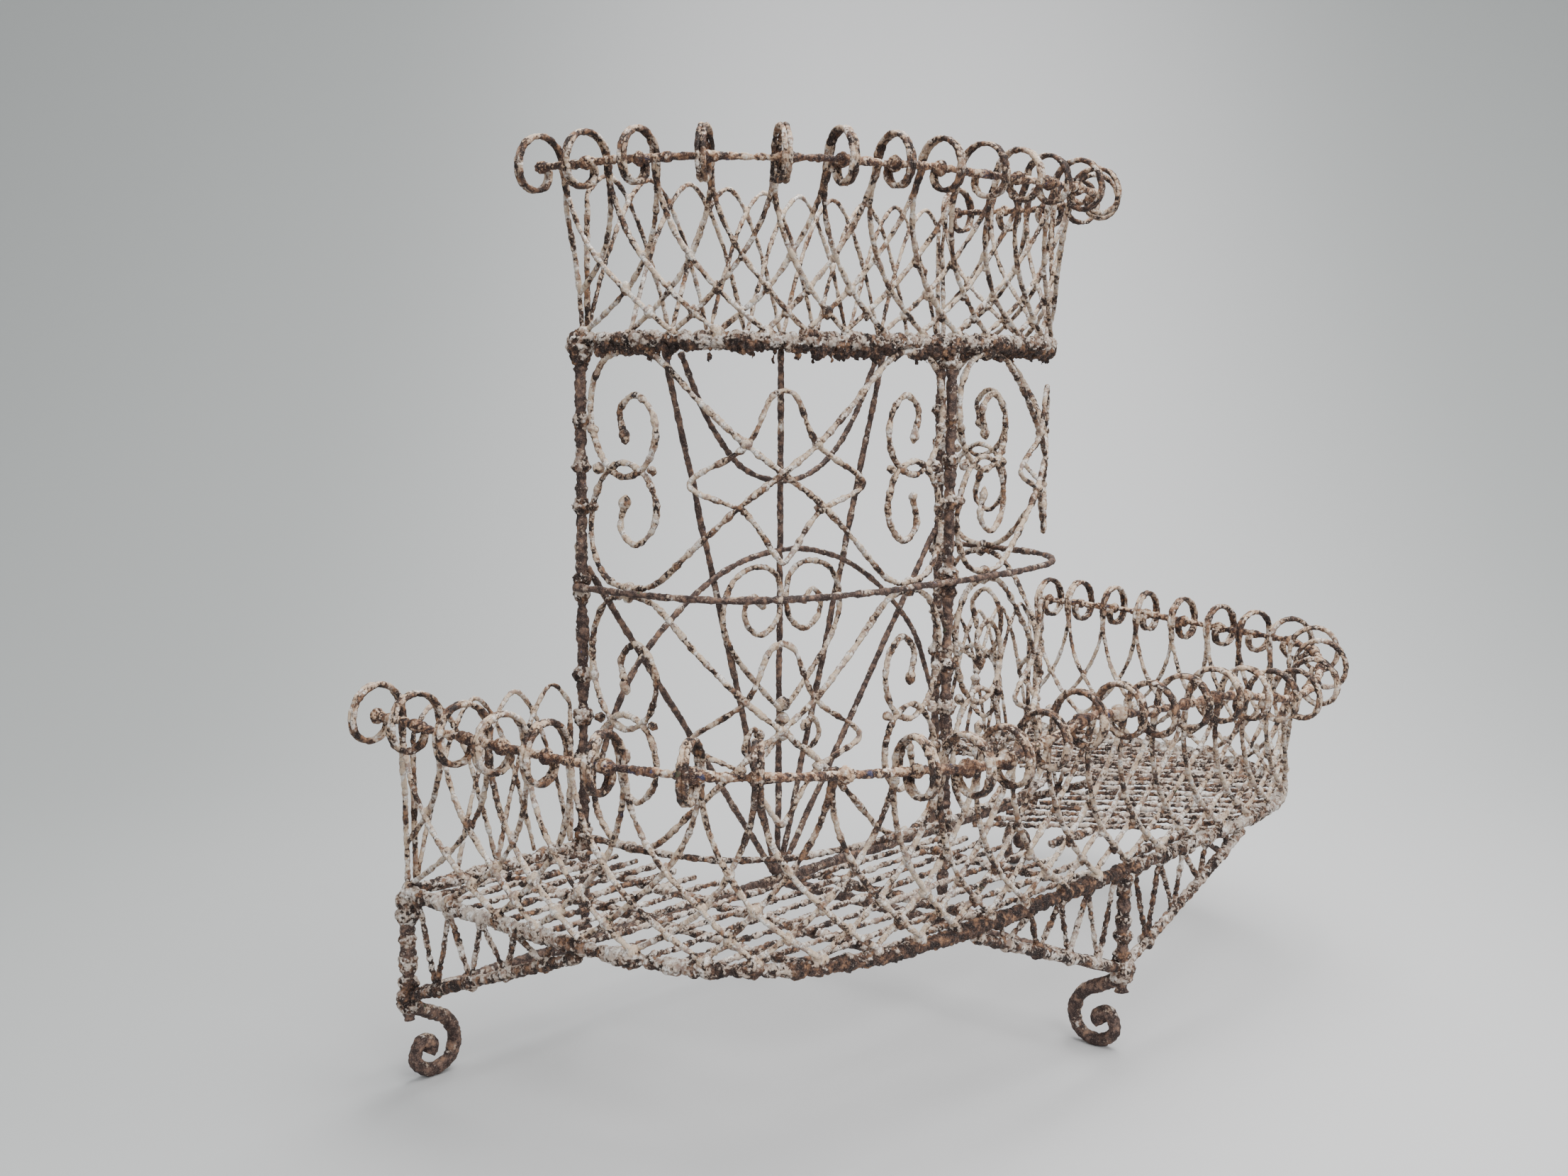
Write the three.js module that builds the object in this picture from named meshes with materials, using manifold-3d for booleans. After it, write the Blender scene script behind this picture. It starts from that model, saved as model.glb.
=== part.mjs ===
// A wirework plant stand for a wall: a wide D-shaped basket on three scroll legs, and a smaller
// D-shaped basket on a tower above it. Millimetres, +Z up, the flat side along X, the bow towards -Y.
import * as THREE from "three";
import { mergeVertices } from "three/addons/utils/BufferGeometryUtils.js";
import Module from "manifold-3d";

const wasm = await Module();
wasm.setup();

// ---- Driving dimensions -------------------------------------------------------------------

const FLOOR_HALF_WIDTH = 525; // lower basket, rim centre line, wall end to axis
const FLOOR_DEPTH = 458; // lower basket, wall line to the middle of the front rim
const FLOOR_SQUARENESS = 4.8; // 2 is an ellipse, higher is squarer at the corners
const TOWER_HALF_WIDTH = 301;
const TOWER_DEPTH = 236;
const TOWER_SQUARENESS = 3.4;

const BASE_HEIGHT = 84; // centre of the base bars
const FLOOR_HEIGHT = 186; // centre of the lower floor rim
const LOWER_BASKET_HEIGHT = 173; // floor rim to lower rail
const RING_HEIGHT = 455; // tower's middle ring
const SHELF_HEIGHT = 702; // centre of the shelf rim
const UPPER_BASKET_HEIGHT = 162; // shelf rim to upper rail

// How far each rail stands outside its rim: at both wall ends, at the front, and less near the right corner.
const LOWER_FLARE = { left: 30, front: 54, right: 30, dent: 27 };
const UPPER_FLARE = { left: 53, front: 72, right: 20, dent: 14 };
const RAIL_DROOP = { drop: 30, place: 0.655, spread: 0.075 }; // the sagged stretch of the lower rail

const LEG_R = 7;
const POST_R = 6;
const RIM_R = 6.5;
const BAR_R = 6;
const RAIL_R = 3.8;
const KNOB_R = 7.5;
const RING_R = 3.2;
const WIRE_R = 2.7; // lattice wire
const SCROLL_R = 3; // panel wire
const FAN_R = 3.6;
const BINDING_R = 6;

const CURL_RADIUS = 25.5;
const CURL_R = 4.2; // half the thickness of the doubled wire in a curl
const LOWER_HAIRPINS = 32;
const UPPER_HAIRPINS = 18;
const BROKEN_CURLS = [8]; // lower curls that have broken off, counted from the left wall end
const LEG_SPREAD = 2; // pitches from a curl to the foot of its leg
const RAIL_ENDS = 9; // distance from a rail's end to its first curl
const GRID_PITCH = 27;
const BEARER_R = 4; // rods that the floor wires lie on
const GAP = 0.4;

const PAINT = new THREE.MeshStandardMaterial({ color: 0xc9bfae, roughness: 0.9, metalness: 0.05 });
const CRUST = new THREE.MeshStandardMaterial({ color: 0xb8ad9f, roughness: 0.95, metalness: 0.05 });
const RUST = new THREE.MeshStandardMaterial({ color: 0x8a5a3a, roughness: 0.9, metalness: 0.15 });
const IRON = new THREE.MeshStandardMaterial({ color: 0x5a4740, roughness: 0.85, metalness: 0.3 });

const stand = new THREE.Group();

// ---- Solids ------------------------------------------------------------------------------

// A three.js geometry as a manifold-3d solid.
function solid(geometry) {
  const bare = geometry.index ? geometry.toNonIndexed() : geometry.clone();
  bare.deleteAttribute("normal");
  bare.deleteAttribute("uv");
  const merged = mergeVertices(bare, 1e-4);
  return new wasm.Manifold(
    new wasm.Mesh({
      numProp: 3,
      vertProperties: merged.attributes.position.array,
      triVerts: new Uint32Array(merged.index.array),
    }),
  );
}

// A round rod of a few sides along a curve.
function tube(curve, radius, steps, sides = 6) {
  const section = new THREE.Shape(
    Array.from({ length: sides }, (_, i) => {
      const angle = (2 * Math.PI * (i + 0.5)) / sides;
      return new THREE.Vector2(radius * Math.cos(angle), radius * Math.sin(angle));
    }),
  );
  return solid(new THREE.ExtrudeGeometry(section, { steps, extrudePath: curve, bevelEnabled: false }));
}

// A rail with a bead at each of the given shares of its length.
function beadedRail(curve, radius, beadRadius, beads, sides) {
  const half = (0.8 * beadRadius) / curve.getLength();
  const stations = beads.flatMap((u) => [
    [u - half, radius],
    [u, beadRadius],
    [u + half, radius],
  ]);
  const all = [[0, radius], ...stations, [1, radius]];
  const xyz = [];
  for (const [u, r] of all) {
    const centre = curve.getPointAt(u);
    const tangent = curve.getTangentAt(u);
    const flat = new THREE.Vector3(tangent.y, -tangent.x, 0).normalize();
    const rise = flat.clone().cross(tangent);
    for (let k = 0; k < sides; k += 1) {
      const angle = (2 * Math.PI * k) / sides;
      const corner = centre.clone();
      corner.addScaledVector(flat, r * Math.cos(angle)).addScaledVector(rise, r * Math.sin(angle));
      xyz.push(...corner);
    }
  }
  const index = [];
  const last = (all.length - 1) * sides;
  for (let i = 0; i < last; i += sides) {
    for (let k = 0; k < sides; k += 1) {
      const next = (k + 1) % sides;
      index.push(i + k, i + sides + k, i + next, i + next, i + sides + k, i + sides + next);
    }
  }
  for (let k = 1; k < sides - 1; k += 1) index.push(0, k, k + 1, last, last + k + 1, last + k);
  const geometry = new THREE.BufferGeometry();
  geometry.setAttribute("position", new THREE.Float32BufferAttribute(xyz, 3));
  return solid(geometry.setIndex(index));
}

const point = (x, y, z) => new THREE.Vector3(x, y, z);
const smooth = (points) => new THREE.CatmullRomCurve3(points, false, "centripetal");
const rod = (from, to, radius, sides = 6) => tube(new THREE.LineCurve3(from, to), radius, 1, sides);

function lump(centre, radius) {
  return solid(new THREE.OctahedronGeometry(radius, 0).translate(centre.x, centre.y, centre.z));
}

function add(name, material, solids) {
  const joined = wasm.Manifold.union(solids);
  const mesh = joined.getMesh();
  const geometry = new THREE.BufferGeometry();
  const xyz = new Float32Array(mesh.numVert * 3);
  for (let i = 0; i < mesh.numVert; i++) {
    xyz.set(mesh.vertProperties.subarray(i * mesh.numProp, i * mesh.numProp + 3), i * 3);
  }
  geometry.setAttribute("position", new THREE.BufferAttribute(xyz, 3));
  geometry.setIndex(new THREE.BufferAttribute(mesh.triVerts, 1));
  geometry.computeVertexNormals();
  const piece = new THREE.Mesh(geometry, material);
  piece.name = name;
  stand.add(piece);
}

// ---- Plan curves --------------------------------------------------------------------------

// Half of a superellipse, from the left wall end round the front to the right wall end.
class DPlan extends THREE.Curve {
  constructor(halfWidth, depth, squareness, height) {
    super();
    Object.assign(this, { halfWidth, depth, squareness, height });
    this.arcLengthDivisions = 600;
  }

  getPoint(t, target = new THREE.Vector3()) {
    const angle = Math.PI * t;
    const c = Math.cos(angle);
    const s = Math.sin(angle);
    const n = this.squareness;
    const reach = (Math.abs(c / this.halfWidth) ** n + Math.abs(s / this.depth) ** n) ** (-1 / n);
    return target.set(-reach * c, -reach * s, this.height);
  }

  outward(u) {
    const tangent = this.getTangentAt(u);
    return point(tangent.y, -tangent.x, 0);
  }

  // A point at arc share u, moved outwards and up.
  place(u, out, up) {
    return this.getPointAt(u).addScaledVector(this.outward(u), out).add(point(0, 0, up));
  }

  // The depth that the D has at x.
  depthAt(x) {
    const n = this.squareness;
    return this.depth * Math.max(0, 1 - Math.abs(x / this.halfWidth) ** n) ** (1 / n);
  }

  // The half width that the D has at depth y.
  widthAt(y) {
    const n = this.squareness;
    return this.halfWidth * Math.max(0, 1 - Math.abs(y / this.depth) ** n) ** (1 / n);
  }
}

class Along extends THREE.Curve {
  constructor(at) {
    super();
    this.at = at;
  }

  getPoint(t, target = new THREE.Vector3()) {
    return target.copy(this.at(t));
  }
}

const floorPlan = new DPlan(FLOOR_HALF_WIDTH, FLOOR_DEPTH, FLOOR_SQUARENESS, FLOOR_HEIGHT);
const shelfPlan = new DPlan(TOWER_HALF_WIDTH, TOWER_DEPTH, TOWER_SQUARENESS, SHELF_HEIGHT);
const footPlan = new DPlan(TOWER_HALF_WIDTH, TOWER_DEPTH, TOWER_SQUARENESS, FLOOR_HEIGHT);

// ---- Legs and base frame --------------------------------------------------------------------

// An S-scroll leg and the upright above it, bowing towards `inward`, with a flat worn under its toe.
function leg(name, foot, inward, top) {
  const bow = [
    [0, BASE_HEIGHT - 8],
    [22, 64],
    [43, 52],
    [53, 31],
    [45, LEG_R + 4],
    [22, LEG_R - 1],
    [6, 19],
    [13, 36],
    [25, 30],
  ];
  const path = bow.map(([out, z]) => foot.clone().addScaledVector(inward, out).setZ(z));
  const scroll = tube(smooth(path), LEG_R, 20);
  const upright = rod(foot.clone().setZ(BASE_HEIGHT - 14), foot.clone().setZ(top), POST_R);
  const whole = scroll.add(upright);
  add(name, IRON, [whole.trimByPlane([0, 0, 1], 0)]);
}

const END_IN = 1; // the leg stands this far inside the rim's wall end
const legTop = FLOOR_HEIGHT - RIM_R - GAP;
const leftFoot = point(-FLOOR_HALF_WIDTH + END_IN, 0, 0);
const rightFoot = point(FLOOR_HALF_WIDTH - END_IN, 0, 0);
const frontFoot = point(0, -FLOOR_DEPTH, 0);
leg("leg_left", leftFoot, point(1, 0, 0), legTop);
leg("leg_right", rightFoot, point(-1, 0, 0), legTop);
leg("leg_front", frontFoot, point(0, 1, 0), legTop);

const barEnd = LEG_R + 10 * GAP; // clear of the scroll, which leans in as it drops
add("base_wall_bar", IRON, [
  rod(
    point(leftFoot.x + barEnd, 0, BASE_HEIGHT),
    point(rightFoot.x - barEnd, 0, BASE_HEIGHT),
    BAR_R,
  ),
]);
add("base_stem_bar", IRON, [
  rod(point(0, -BAR_R - GAP, BASE_HEIGHT), point(0, frontFoot.y + barEnd, BASE_HEIGHT), BAR_R),
]);

// ---- Lower floor -------------------------------------------------------------------------

// Both floor-level wall rods meet the D at its ends, and stop short of the posts.
const postInside = TOWER_HALF_WIDTH + POST_R + GAP;
add("floor_rim", CRUST, [
  tube(floorPlan, RIM_R, 40, 5),
  ...[-1, 1].map((side) =>
    rod(
      point(side * (FLOOR_HALF_WIDTH + RIM_R), 0, FLOOR_HEIGHT),
      point(side * postInside, 0, FLOOR_HEIGHT),
      RIM_R,
    ),
  ),
]);

// Rods of the left half run along the wall, on bearers that run from back to front.
function leftGrid() {
  const rods = [];
  const clear = RIM_R + GAP;
  for (let y = -GRID_PITCH; y > -FLOOR_DEPTH + clear + WIRE_R; y -= GRID_PITCH) {
    const outer = -floorPlan.widthAt(y - Math.sign(y) * -clear) + clear;
    const inner = Math.abs(y) < TOWER_DEPTH + clear + WIRE_R ? -TOWER_HALF_WIDTH - clear : -clear - 8;
    rods.push(rod(point(outer, y, FLOOR_HEIGHT), point(inner, y, FLOOR_HEIGHT), WIRE_R, 3));
  }
  for (const [x, from] of [
    [-FLOOR_HALF_WIDTH * 0.8, -RIM_R - GAP - 4],
    [-FLOOR_HALF_WIDTH * 0.66, -RIM_R - GAP - 4],
    [-FLOOR_HALF_WIDTH * 0.4, -TOWER_DEPTH - clear - 4],
    [-FLOOR_HALF_WIDTH * 0.12, -TOWER_DEPTH - clear - 4],
  ]) {
    const reach = floorPlan.depthAt(x);
    const low = FLOOR_HEIGHT - BEARER_R;
    rods.push(rod(point(x, from, low), point(x, -reach + clear + BEARER_R, low), BEARER_R, 3));
  }
  return rods;
}
add("floor_grid_left", PAINT, leftGrid());

// Where a ray from `from` along `way` leaves the D of the given plan.
function exit(plan, from, way, clear) {
  let far = 0;
  for (let step = 0; step < 900; step += 1) {
    const x = from.x + way.x * step;
    const y = from.y + way.y * step;
    const inside =
      Math.abs(x / (plan.halfWidth - clear)) ** plan.squareness +
        Math.abs(y / (plan.depth - clear)) ** plan.squareness <
      1;
    if (!inside) break;
    far = step;
  }
  return from.clone().addScaledVector(way, far).setZ(from.z);
}

// Rods of the right half run slantwise from the wall and the tower to the rim, on two bearers.
const SLANT = point(0.62, -0.785, 0).normalize();
function rightGrid() {
  const rods = [];
  const clear = RIM_R + WIRE_R + GAP;
  const z = FLOOR_HEIGHT;
  const tower = TOWER_HALF_WIDTH + clear;
  const lay = (start) => {
    const end = exit(floorPlan, start, SLANT, clear);
    if (end.distanceTo(start) > GRID_PITCH / 2) rods.push(rod(start, end, WIRE_R, 3));
  };
  for (let x = tower + GRID_PITCH * 6.2; x > tower; x -= GRID_PITCH * 1.15) {
    lay(point(x, -clear - 2, z));
  }
  for (let y = -clear - GRID_PITCH; y > -TOWER_DEPTH; y -= GRID_PITCH * 1.2) {
    lay(point(tower, y, z));
  }
  for (let x = TOWER_HALF_WIDTH; x > 40; x -= GRID_PITCH * 1.2) {
    lay(point(x, -TOWER_DEPTH - clear, z));
  }
  for (const inset of [32, 112]) {
    const plan = new DPlan(FLOOR_HALF_WIDTH - inset, FLOOR_DEPTH - inset, FLOOR_SQUARENESS, z - BEARER_R);
    rods.push(tube(new Along((t) => plan.getPointAt(0.53 + 0.458 * t)), BEARER_R, 10, 3));
  }
  return rods;
}
add("floor_grid_right", PAINT, rightGrid());

// ---- Tower --------------------------------------------------------------------------------

const postTop = SHELF_HEIGHT - RIM_R - GAP;
const onBar = BASE_HEIGHT + BAR_R + GAP;
for (const [name, x] of [
  ["post_left", -TOWER_HALF_WIDTH],
  ["post_right", TOWER_HALF_WIDTH],
]) {
  add(name, IRON, [rod(point(x, 0, onBar), point(x, 0, postTop), POST_R, 8)]);
}
add("post_front", CRUST, [
  rod(point(0, -TOWER_DEPTH, onBar), point(0, -TOWER_DEPTH, postTop), POST_R, 8),
]);

// The bowed rails of the tower pass outside its posts.
function bowedRail(name, height, radius, material) {
  const outside = POST_R + radius + GAP;
  const plan = new DPlan(TOWER_HALF_WIDTH + outside, TOWER_DEPTH + outside, TOWER_SQUARENESS, height);
  add(name, material, [tube(plan, radius, 28, 4)]);
}
bowedRail("tower_middle_ring", RING_HEIGHT, RING_R, PAINT);
const FOOT_RAIL_LIFT = RIM_R + WIRE_R + 4;
bowedRail("tower_foot_rail", FLOOR_HEIGHT + FOOT_RAIL_LIFT, RING_R, CRUST);

add("shelf_rim", CRUST, [
  tube(shelfPlan, RIM_R, 28, 5),
  rod(
    point(-TOWER_HALF_WIDTH - RIM_R, 0, SHELF_HEIGHT),
    point(TOWER_HALF_WIDTH + RIM_R, 0, SHELF_HEIGHT),
    RIM_R,
  ),
]);

function shelfGrid() {
  const clear = RIM_R + GAP;
  const rods = [];
  for (let y = -GRID_PITCH; y > -TOWER_DEPTH + clear + WIRE_R; y -= GRID_PITCH) {
    const reach = shelfPlan.widthAt(y - clear) - clear;
    rods.push(rod(point(-reach, y, SHELF_HEIGHT), point(reach, y, SHELF_HEIGHT), WIRE_R, 3));
  }
  for (const x of [-TOWER_HALF_WIDTH * 0.5, 0, TOWER_HALF_WIDTH * 0.5]) {
    const front = -TOWER_DEPTH + clear + 8;
    const low = SHELF_HEIGHT - BEARER_R;
    rods.push(rod(point(x, -clear - 1, low), point(x, front, low), BEARER_R, 3));
  }
  return rods;
}
add("shelf_grid", CRUST, shelfGrid());

// ---- Star panels ---------------------------------------------------------------------------

// One long wire of a panel in units of half its width and half its height, from its middle out:
// over the top, round the corner, down the post, across the lens and up into its scroll.
const HALF_WIRE = [
  [0, 0],
  [-0.17, 0.24],
  [-0.37, 0.58],
  [-0.6, 0.95],
  [-0.74, 1],
  [-0.88, 0.93],
  [-0.97, 0.66],
  [-0.965, 0.33],
  [-0.89, 0.06],
  [-0.77, -0.06],
  [-0.64, 0.05],
  [-0.585, 0.3],
  [-0.61, 0.5],
  [-0.7, 0.63],
  [-0.79, 0.5],
  [-0.765, 0.28],
];
// The star, from its peak down one side to its foot.
const HALF_STAR = [
  [0, 0.68],
  [-0.05, 0.64],
  [-0.16, 0.24],
  [-0.4, -0.05],
  [-0.42, -0.11],
  [-0.39, -0.16],
  [-0.17, -0.33],
  [-0.04, -0.66],
  [0, -0.74],
];

function starPanel(name, side, bottom, top) {
  const halfHeight = (top - bottom) / 2;
  const from = side === "left" ? 0 : 0.5;
  const edge = (POST_R + SCROLL_R + GAP) / footPlan.getLength();
  const place = ([x, y]) => {
    const share = 0.25 + (x * (0.5 - 2 * edge)) / 2;
    return footPlan.getPointAt(from + share).setZ(bottom + halfHeight * (1 + y));
  };
  const wire = (points) => tube(smooth(points.map(place)), SCROLL_R, 17, 3);
  const turned = (fx, fy) => HALF_WIRE.map(([x, y]) => [x * fx, y * fy]);
  const star = (fx) => HALF_STAR.map(([x, y]) => [x * fx, y]);
  add(name, PAINT, [
    wire(turned(1, 1)),
    wire(turned(1, -1)),
    wire(turned(-1, 1)),
    wire(turned(-1, -1)),
    tube(smooth([[0.02, 0.68], ...star(1), [0.02, -0.74]].map(place)), SCROLL_R * 0.9, 8, 3),
    tube(smooth([[-0.02, 0.68], ...star(-1), [-0.02, -0.74]].map(place)), SCROLL_R * 0.9, 8, 3),
  ]);
}

const panelGap = SCROLL_R + GAP;
const lowerPanel = [FLOOR_HEIGHT + panelGap + RIM_R, RING_HEIGHT - panelGap];
const upperPanel = [RING_HEIGHT + panelGap, SHELF_HEIGHT - RIM_R - panelGap];
for (const side of ["left", "right"]) {
  starPanel("star_panel_lower_" + side, side, ...lowerPanel);
  starPanel("star_panel_upper_" + side, side, ...upperPanel);
}

// ---- Fan panel on the wall side ---------------------------------------------------------------

const fanFoot = point(0, 0, BASE_HEIGHT + BAR_R + FAN_R + GAP);
const FAN_SHARE = 0.618; // of the tower's half width, from its middle to the next rod at the shelf
function fanRods() {
  const top = SHELF_HEIGHT - RIM_R - GAP;
  const atPost = TOWER_HALF_WIDTH - POST_R - FAN_R - GAP;
  const ends = [
    [-atPost, RING_HEIGHT + 18],
    [-FAN_SHARE * TOWER_HALF_WIDTH, top],
    [0, top],
    [FAN_SHARE * TOWER_HALF_WIDTH, top],
    [atPost, RING_HEIGHT + 18],
  ];
  const rods = ends.map(([x, z], i) =>
    rod(point(fanFoot.x + (i - 2) * 3, 0, fanFoot.z), point(x, 0, z), FAN_R, 5),
  );
  return rods;
}
add("fan_rods", IRON, fanRods());

// The fan's wires are drawn for a tower of this size, and follow the real one.
const DRAWN = { halfWidth: 301, foot: 84, top: 702 };
const fanX = (x) => (x * TOWER_HALF_WIDTH) / DRAWN.halfWidth;
const fanZ = (z) =>
  BASE_HEIGHT + ((z - DRAWN.foot) * (SHELF_HEIGHT - BASE_HEIGHT)) / (DRAWN.top - DRAWN.foot);
const inFront = -(FAN_R + SCROLL_R + GAP); // wires tied across the fan lie on its front
const onFan = (points) => smooth(points.map(([x, z]) => point(fanX(x), inFront, fanZ(z))));
const shelfUnder = 690;
add("fan_hanging_arc", IRON, [
  tube(
    onFan([
      [-166, shelfUnder],
      [-118, 611],
      [-66, 564],
      [0, 548],
      [66, 564],
      [118, 611],
      [166, shelfUnder],
    ]),
    SCROLL_R,
    18,
    5,
  ),
]);
const archSpring = 288;
add("fan_arch", IRON, [
  tube(
    onFan([
      [-archSpring, 262],
      [-246, 347],
      [-176, 412],
      [-90, 456],
      [0, 470],
      [90, 456],
      [176, 412],
      [246, 347],
      [archSpring, 262],
    ]),
    SCROLL_R,
    20,
    5,
  ),
]);

// Half of the heart: from its scroll round to the stem, up it, over the shoulder and down to the tip.
const HALF_HEART = [
  [-38, 411],
  [-50, 421],
  [-64, 411],
  [-62, 391],
  [-38, 376],
  [-10, 392],
  [-5, 425],
  [-12, 442],
  [-30, 452],
  [-55, 453],
  [-82, 442],
  [-97, 420],
  [-99, 390],
  [-80, 357],
  [-40, 317],
  [-3, 286],
];
const HALF_TAIL = [
  [-40, 262],
  [-48, 270],
  [-60, 262],
  [-64, 246],
  [-48, 234],
  [-26, 240],
  [-5, 262],
];
function pairOnStem(name, half, steps, collars) {
  const wires = [-1, 1].map((side) =>
    tube(onFan(half.map(([x, z]) => [x * -side, z])), SCROLL_R, steps, 3),
  );
  const bands = collars.map((z) => lump(point(0, inFront - 1.5, fanZ(z)), BINDING_R + 1));
  add(name, PAINT, [...wires, ...bands].map((s) => s.trimByPlane([0, -1, 0], FAN_R + GAP)));
}
pairOnStem("fan_heart", HALF_HEART, 26, [416, 292]);
pairOnStem("fan_tail_scrolls", HALF_TAIL, 12, [258]);

// ---- Braces and lacing under the floor ----------------------------------------------------------

// A brace from a leg's top up to the rim, laced to the rim with zigzag wire.
function apron(name, foot, at) {
  const steps = 4;
  const rim = (share) => at(share).setZ(FLOOR_HEIGHT - RIM_R - GAP - WIRE_R);
  const start = at(0.035).setZ(BASE_HEIGHT + BAR_R + 3);
  const end = at(1).setZ(FLOOR_HEIGHT - RIM_R - GAP - BAR_R * 0.75);
  const brace = (share) => start.clone().lerp(end, share);
  const bow = smooth([start, at(0.3).setZ(brace(0.3).z), at(0.65).setZ(brace(0.65).z), end]);
  const wires = [];
  for (let i = 0; i < steps; i += 1) {
    const low = bow.getPoint((i + 0.75) / (steps + 0.6));
    wires.push(rod(rim((i + 0.25) / (steps + 1)), low, WIRE_R, 4));
    wires.push(rod(low, rim((i + 1.25) / (steps + 1)), WIRE_R, 4));
  }
  add(name, CRUST, [tube(bow, BAR_R * 0.75, 5, 5), ...wires]);
}
const floorLength = floorPlan.getLength();
const END_APRON = 236 / floorLength; // how far round the rim each brace reaches
const FRONT_APRON = 250 / floorLength;
const clearOfLeg = (POST_R + BAR_R * 0.75 + 1.2) / floorLength;
const span = (from, to) => (share) => floorPlan.getPointAt(from + (to - from) * share);
apron("apron_left_end", leftFoot, span(clearOfLeg, END_APRON));
apron("apron_front_left", frontFoot, span(0.5 - clearOfLeg, 0.5 - FRONT_APRON));
apron("apron_front_right", frontFoot, span(0.5 + clearOfLeg, 0.5 + FRONT_APRON));
apron("apron_right_end", rightFoot, span(1 - clearOfLeg, 1 - END_APRON));

// ---- Baskets ---------------------------------------------------------------------------------

const LAYER = WIRE_R + 0.3; // legs that lean left lie inside, legs that lean right lie outside

class Basket {
  constructor(plan, height, flare, count, droop, broken = []) {
    Object.assign(this, { plan, height, flare, count, droop, broken });
    this.foot = RIM_R + WIRE_R + GAP; // legs start above the rim
    this.railCurve = new Along((t) => this.railAt(t));
    this.railCurve.arcLengthDivisions = 800;
    this.runs = this.railCurve.getLengths();
    this.pitch = (this.runs.at(-1) - 2 * RAIL_ENDS) / (count - 1);
  }

  // How far along the rail it is to rim share u, in pitches from the first curl.
  indexOf(u) {
    const place = u * (this.runs.length - 1);
    const before = Math.min(Math.floor(place), this.runs.length - 2);
    const run = this.runs[before] + (place - before) * (this.runs[before + 1] - this.runs[before]);
    return (run - RAIL_ENDS) / this.pitch;
  }

  // The rim share below curl i, where i can lie between two curls.
  shareOf(i) {
    const run = Math.min(Math.max(RAIL_ENDS + i * this.pitch, 0), this.runs.at(-1));
    const after = Math.max(1, this.runs.findIndex((r) => r >= run));
    const part = (run - this.runs[after - 1]) / (this.runs[after] - this.runs[after - 1]);
    return (after - 1 + part) / (this.runs.length - 1);
  }

  flareAt(u) {
    const { left, front, right, dent } = this.flare;
    const end = u < 0.5 ? left : right;
    return end + (front - end) * Math.sin(Math.PI * u) - dent * Math.exp(-(((u - 0.82) / 0.1) ** 2));
  }

  dropAt(u) {
    if (!this.droop) return 0;
    return this.droop.drop * Math.exp(-(((u - this.droop.place) / this.droop.spread) ** 2));
  }

  railAt(u) {
    return this.plan.place(u, this.flareAt(u), this.height - this.dropAt(u));
  }

  // A point of the woven wall: v is 0 at the foot and 1 level with the rail.
  wallAt(u, v, layer) {
    const top = this.height - this.dropAt(u);
    const out = (this.flareAt(u) - CURL_RADIUS) * v ** 1.4;
    return this.plan.place(u, out + layer, this.foot + (top - this.foot) * v);
  }

  // One leg: steep below the curl, flat at the foot, and stopped at the wall end.
  leg(i, way) {
    const endGap = (2 * WIRE_R + GAP + 1) / this.plan.getLength();
    const low = i === 0 ? 0 : endGap;
    const high = i === this.count - 1 ? 1 : 1 - endGap;
    const limit = way < 0 ? i - this.indexOf(low) : this.indexOf(high) - i;
    const vertical = way < 0 ? i === 0 : i === this.count - 1;
    const reach = vertical ? LEG_SPREAD : Math.min(LEG_SPREAD, limit);
    const at = (k) => {
      const t = reach * k ** 1.6;
      const v = 1 - (t / LEG_SPREAD) ** (1 / 2.3);
      const lean = vertical ? Math.min(t, limit) : t;
      const layer = way * LAYER * Math.min(1, t / 0.3);
      return this.wallAt(this.shareOf(i + way * lean), Math.max(0, v), layer);
    };
    return tube(new Along(at), WIRE_R, 4, 3);
  }

  curl(i) {
    const u = this.shareOf(i);
    const centre = this.railAt(u);
    const out = this.plan.outward(u);
    const turns = 1.72 * Math.PI;
    const at = (k) => {
      const angle = Math.PI - turns * k;
      const closed = CURL_RADIUS - KNOB_R - CURL_R - 1.2;
      const radius = CURL_RADIUS - closed * (Math.max(0, k - 0.6) / 0.4) ** 1.3;
      return centre
        .clone()
        .addScaledVector(out, radius * Math.cos(angle))
        .add(point(0, 0, radius * Math.sin(angle)));
    };
    return tube(new Along(at), CURL_R, 8, 3);
  }

  hairpin(i) {
    const legs = [this.leg(i, -1), this.leg(i, 1)];
    return this.broken.includes(i) ? legs : [this.curl(i), ...legs];
  }

  // Two neighbours bound where their inner legs cross.
  pair(name, i) {
    const middle = this.shareOf(i + 0.5);
    const v = 1 - (0.5 / LEG_SPREAD) ** (1 / 2.3);
    const binding = lump(this.wallAt(middle, v, 0), BINDING_R);
    add(name, PAINT, [...this.hairpin(i), ...this.hairpin(i + 1), binding]);
  }

  rail(name) {
    const length = this.runs.at(-1);
    const beads = Array.from({ length: this.count }, (_, i) => (RAIL_ENDS + i * this.pitch) / length);
    add(name, RUST, [beadedRail(this.railCurve, RAIL_R, KNOB_R, beads, 5)]);
  }
}

const lowerBasket = new Basket(
  floorPlan,
  LOWER_BASKET_HEIGHT,
  LOWER_FLARE,
  LOWER_HAIRPINS,
  RAIL_DROOP,
  BROKEN_CURLS,
);
const upperBasket = new Basket(shelfPlan, UPPER_BASKET_HEIGHT, UPPER_FLARE, UPPER_HAIRPINS, null);
for (const [basket, label] of [
  [lowerBasket, "lower"],
  [upperBasket, "upper"],
]) {
  basket.rail(label + "_rail");
  for (let i = 0; i < basket.count; i += 2) {
    basket.pair(label + "_hairpins_" + String(i / 2 + 1).padStart(2, "0"), i);
  }
}

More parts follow.
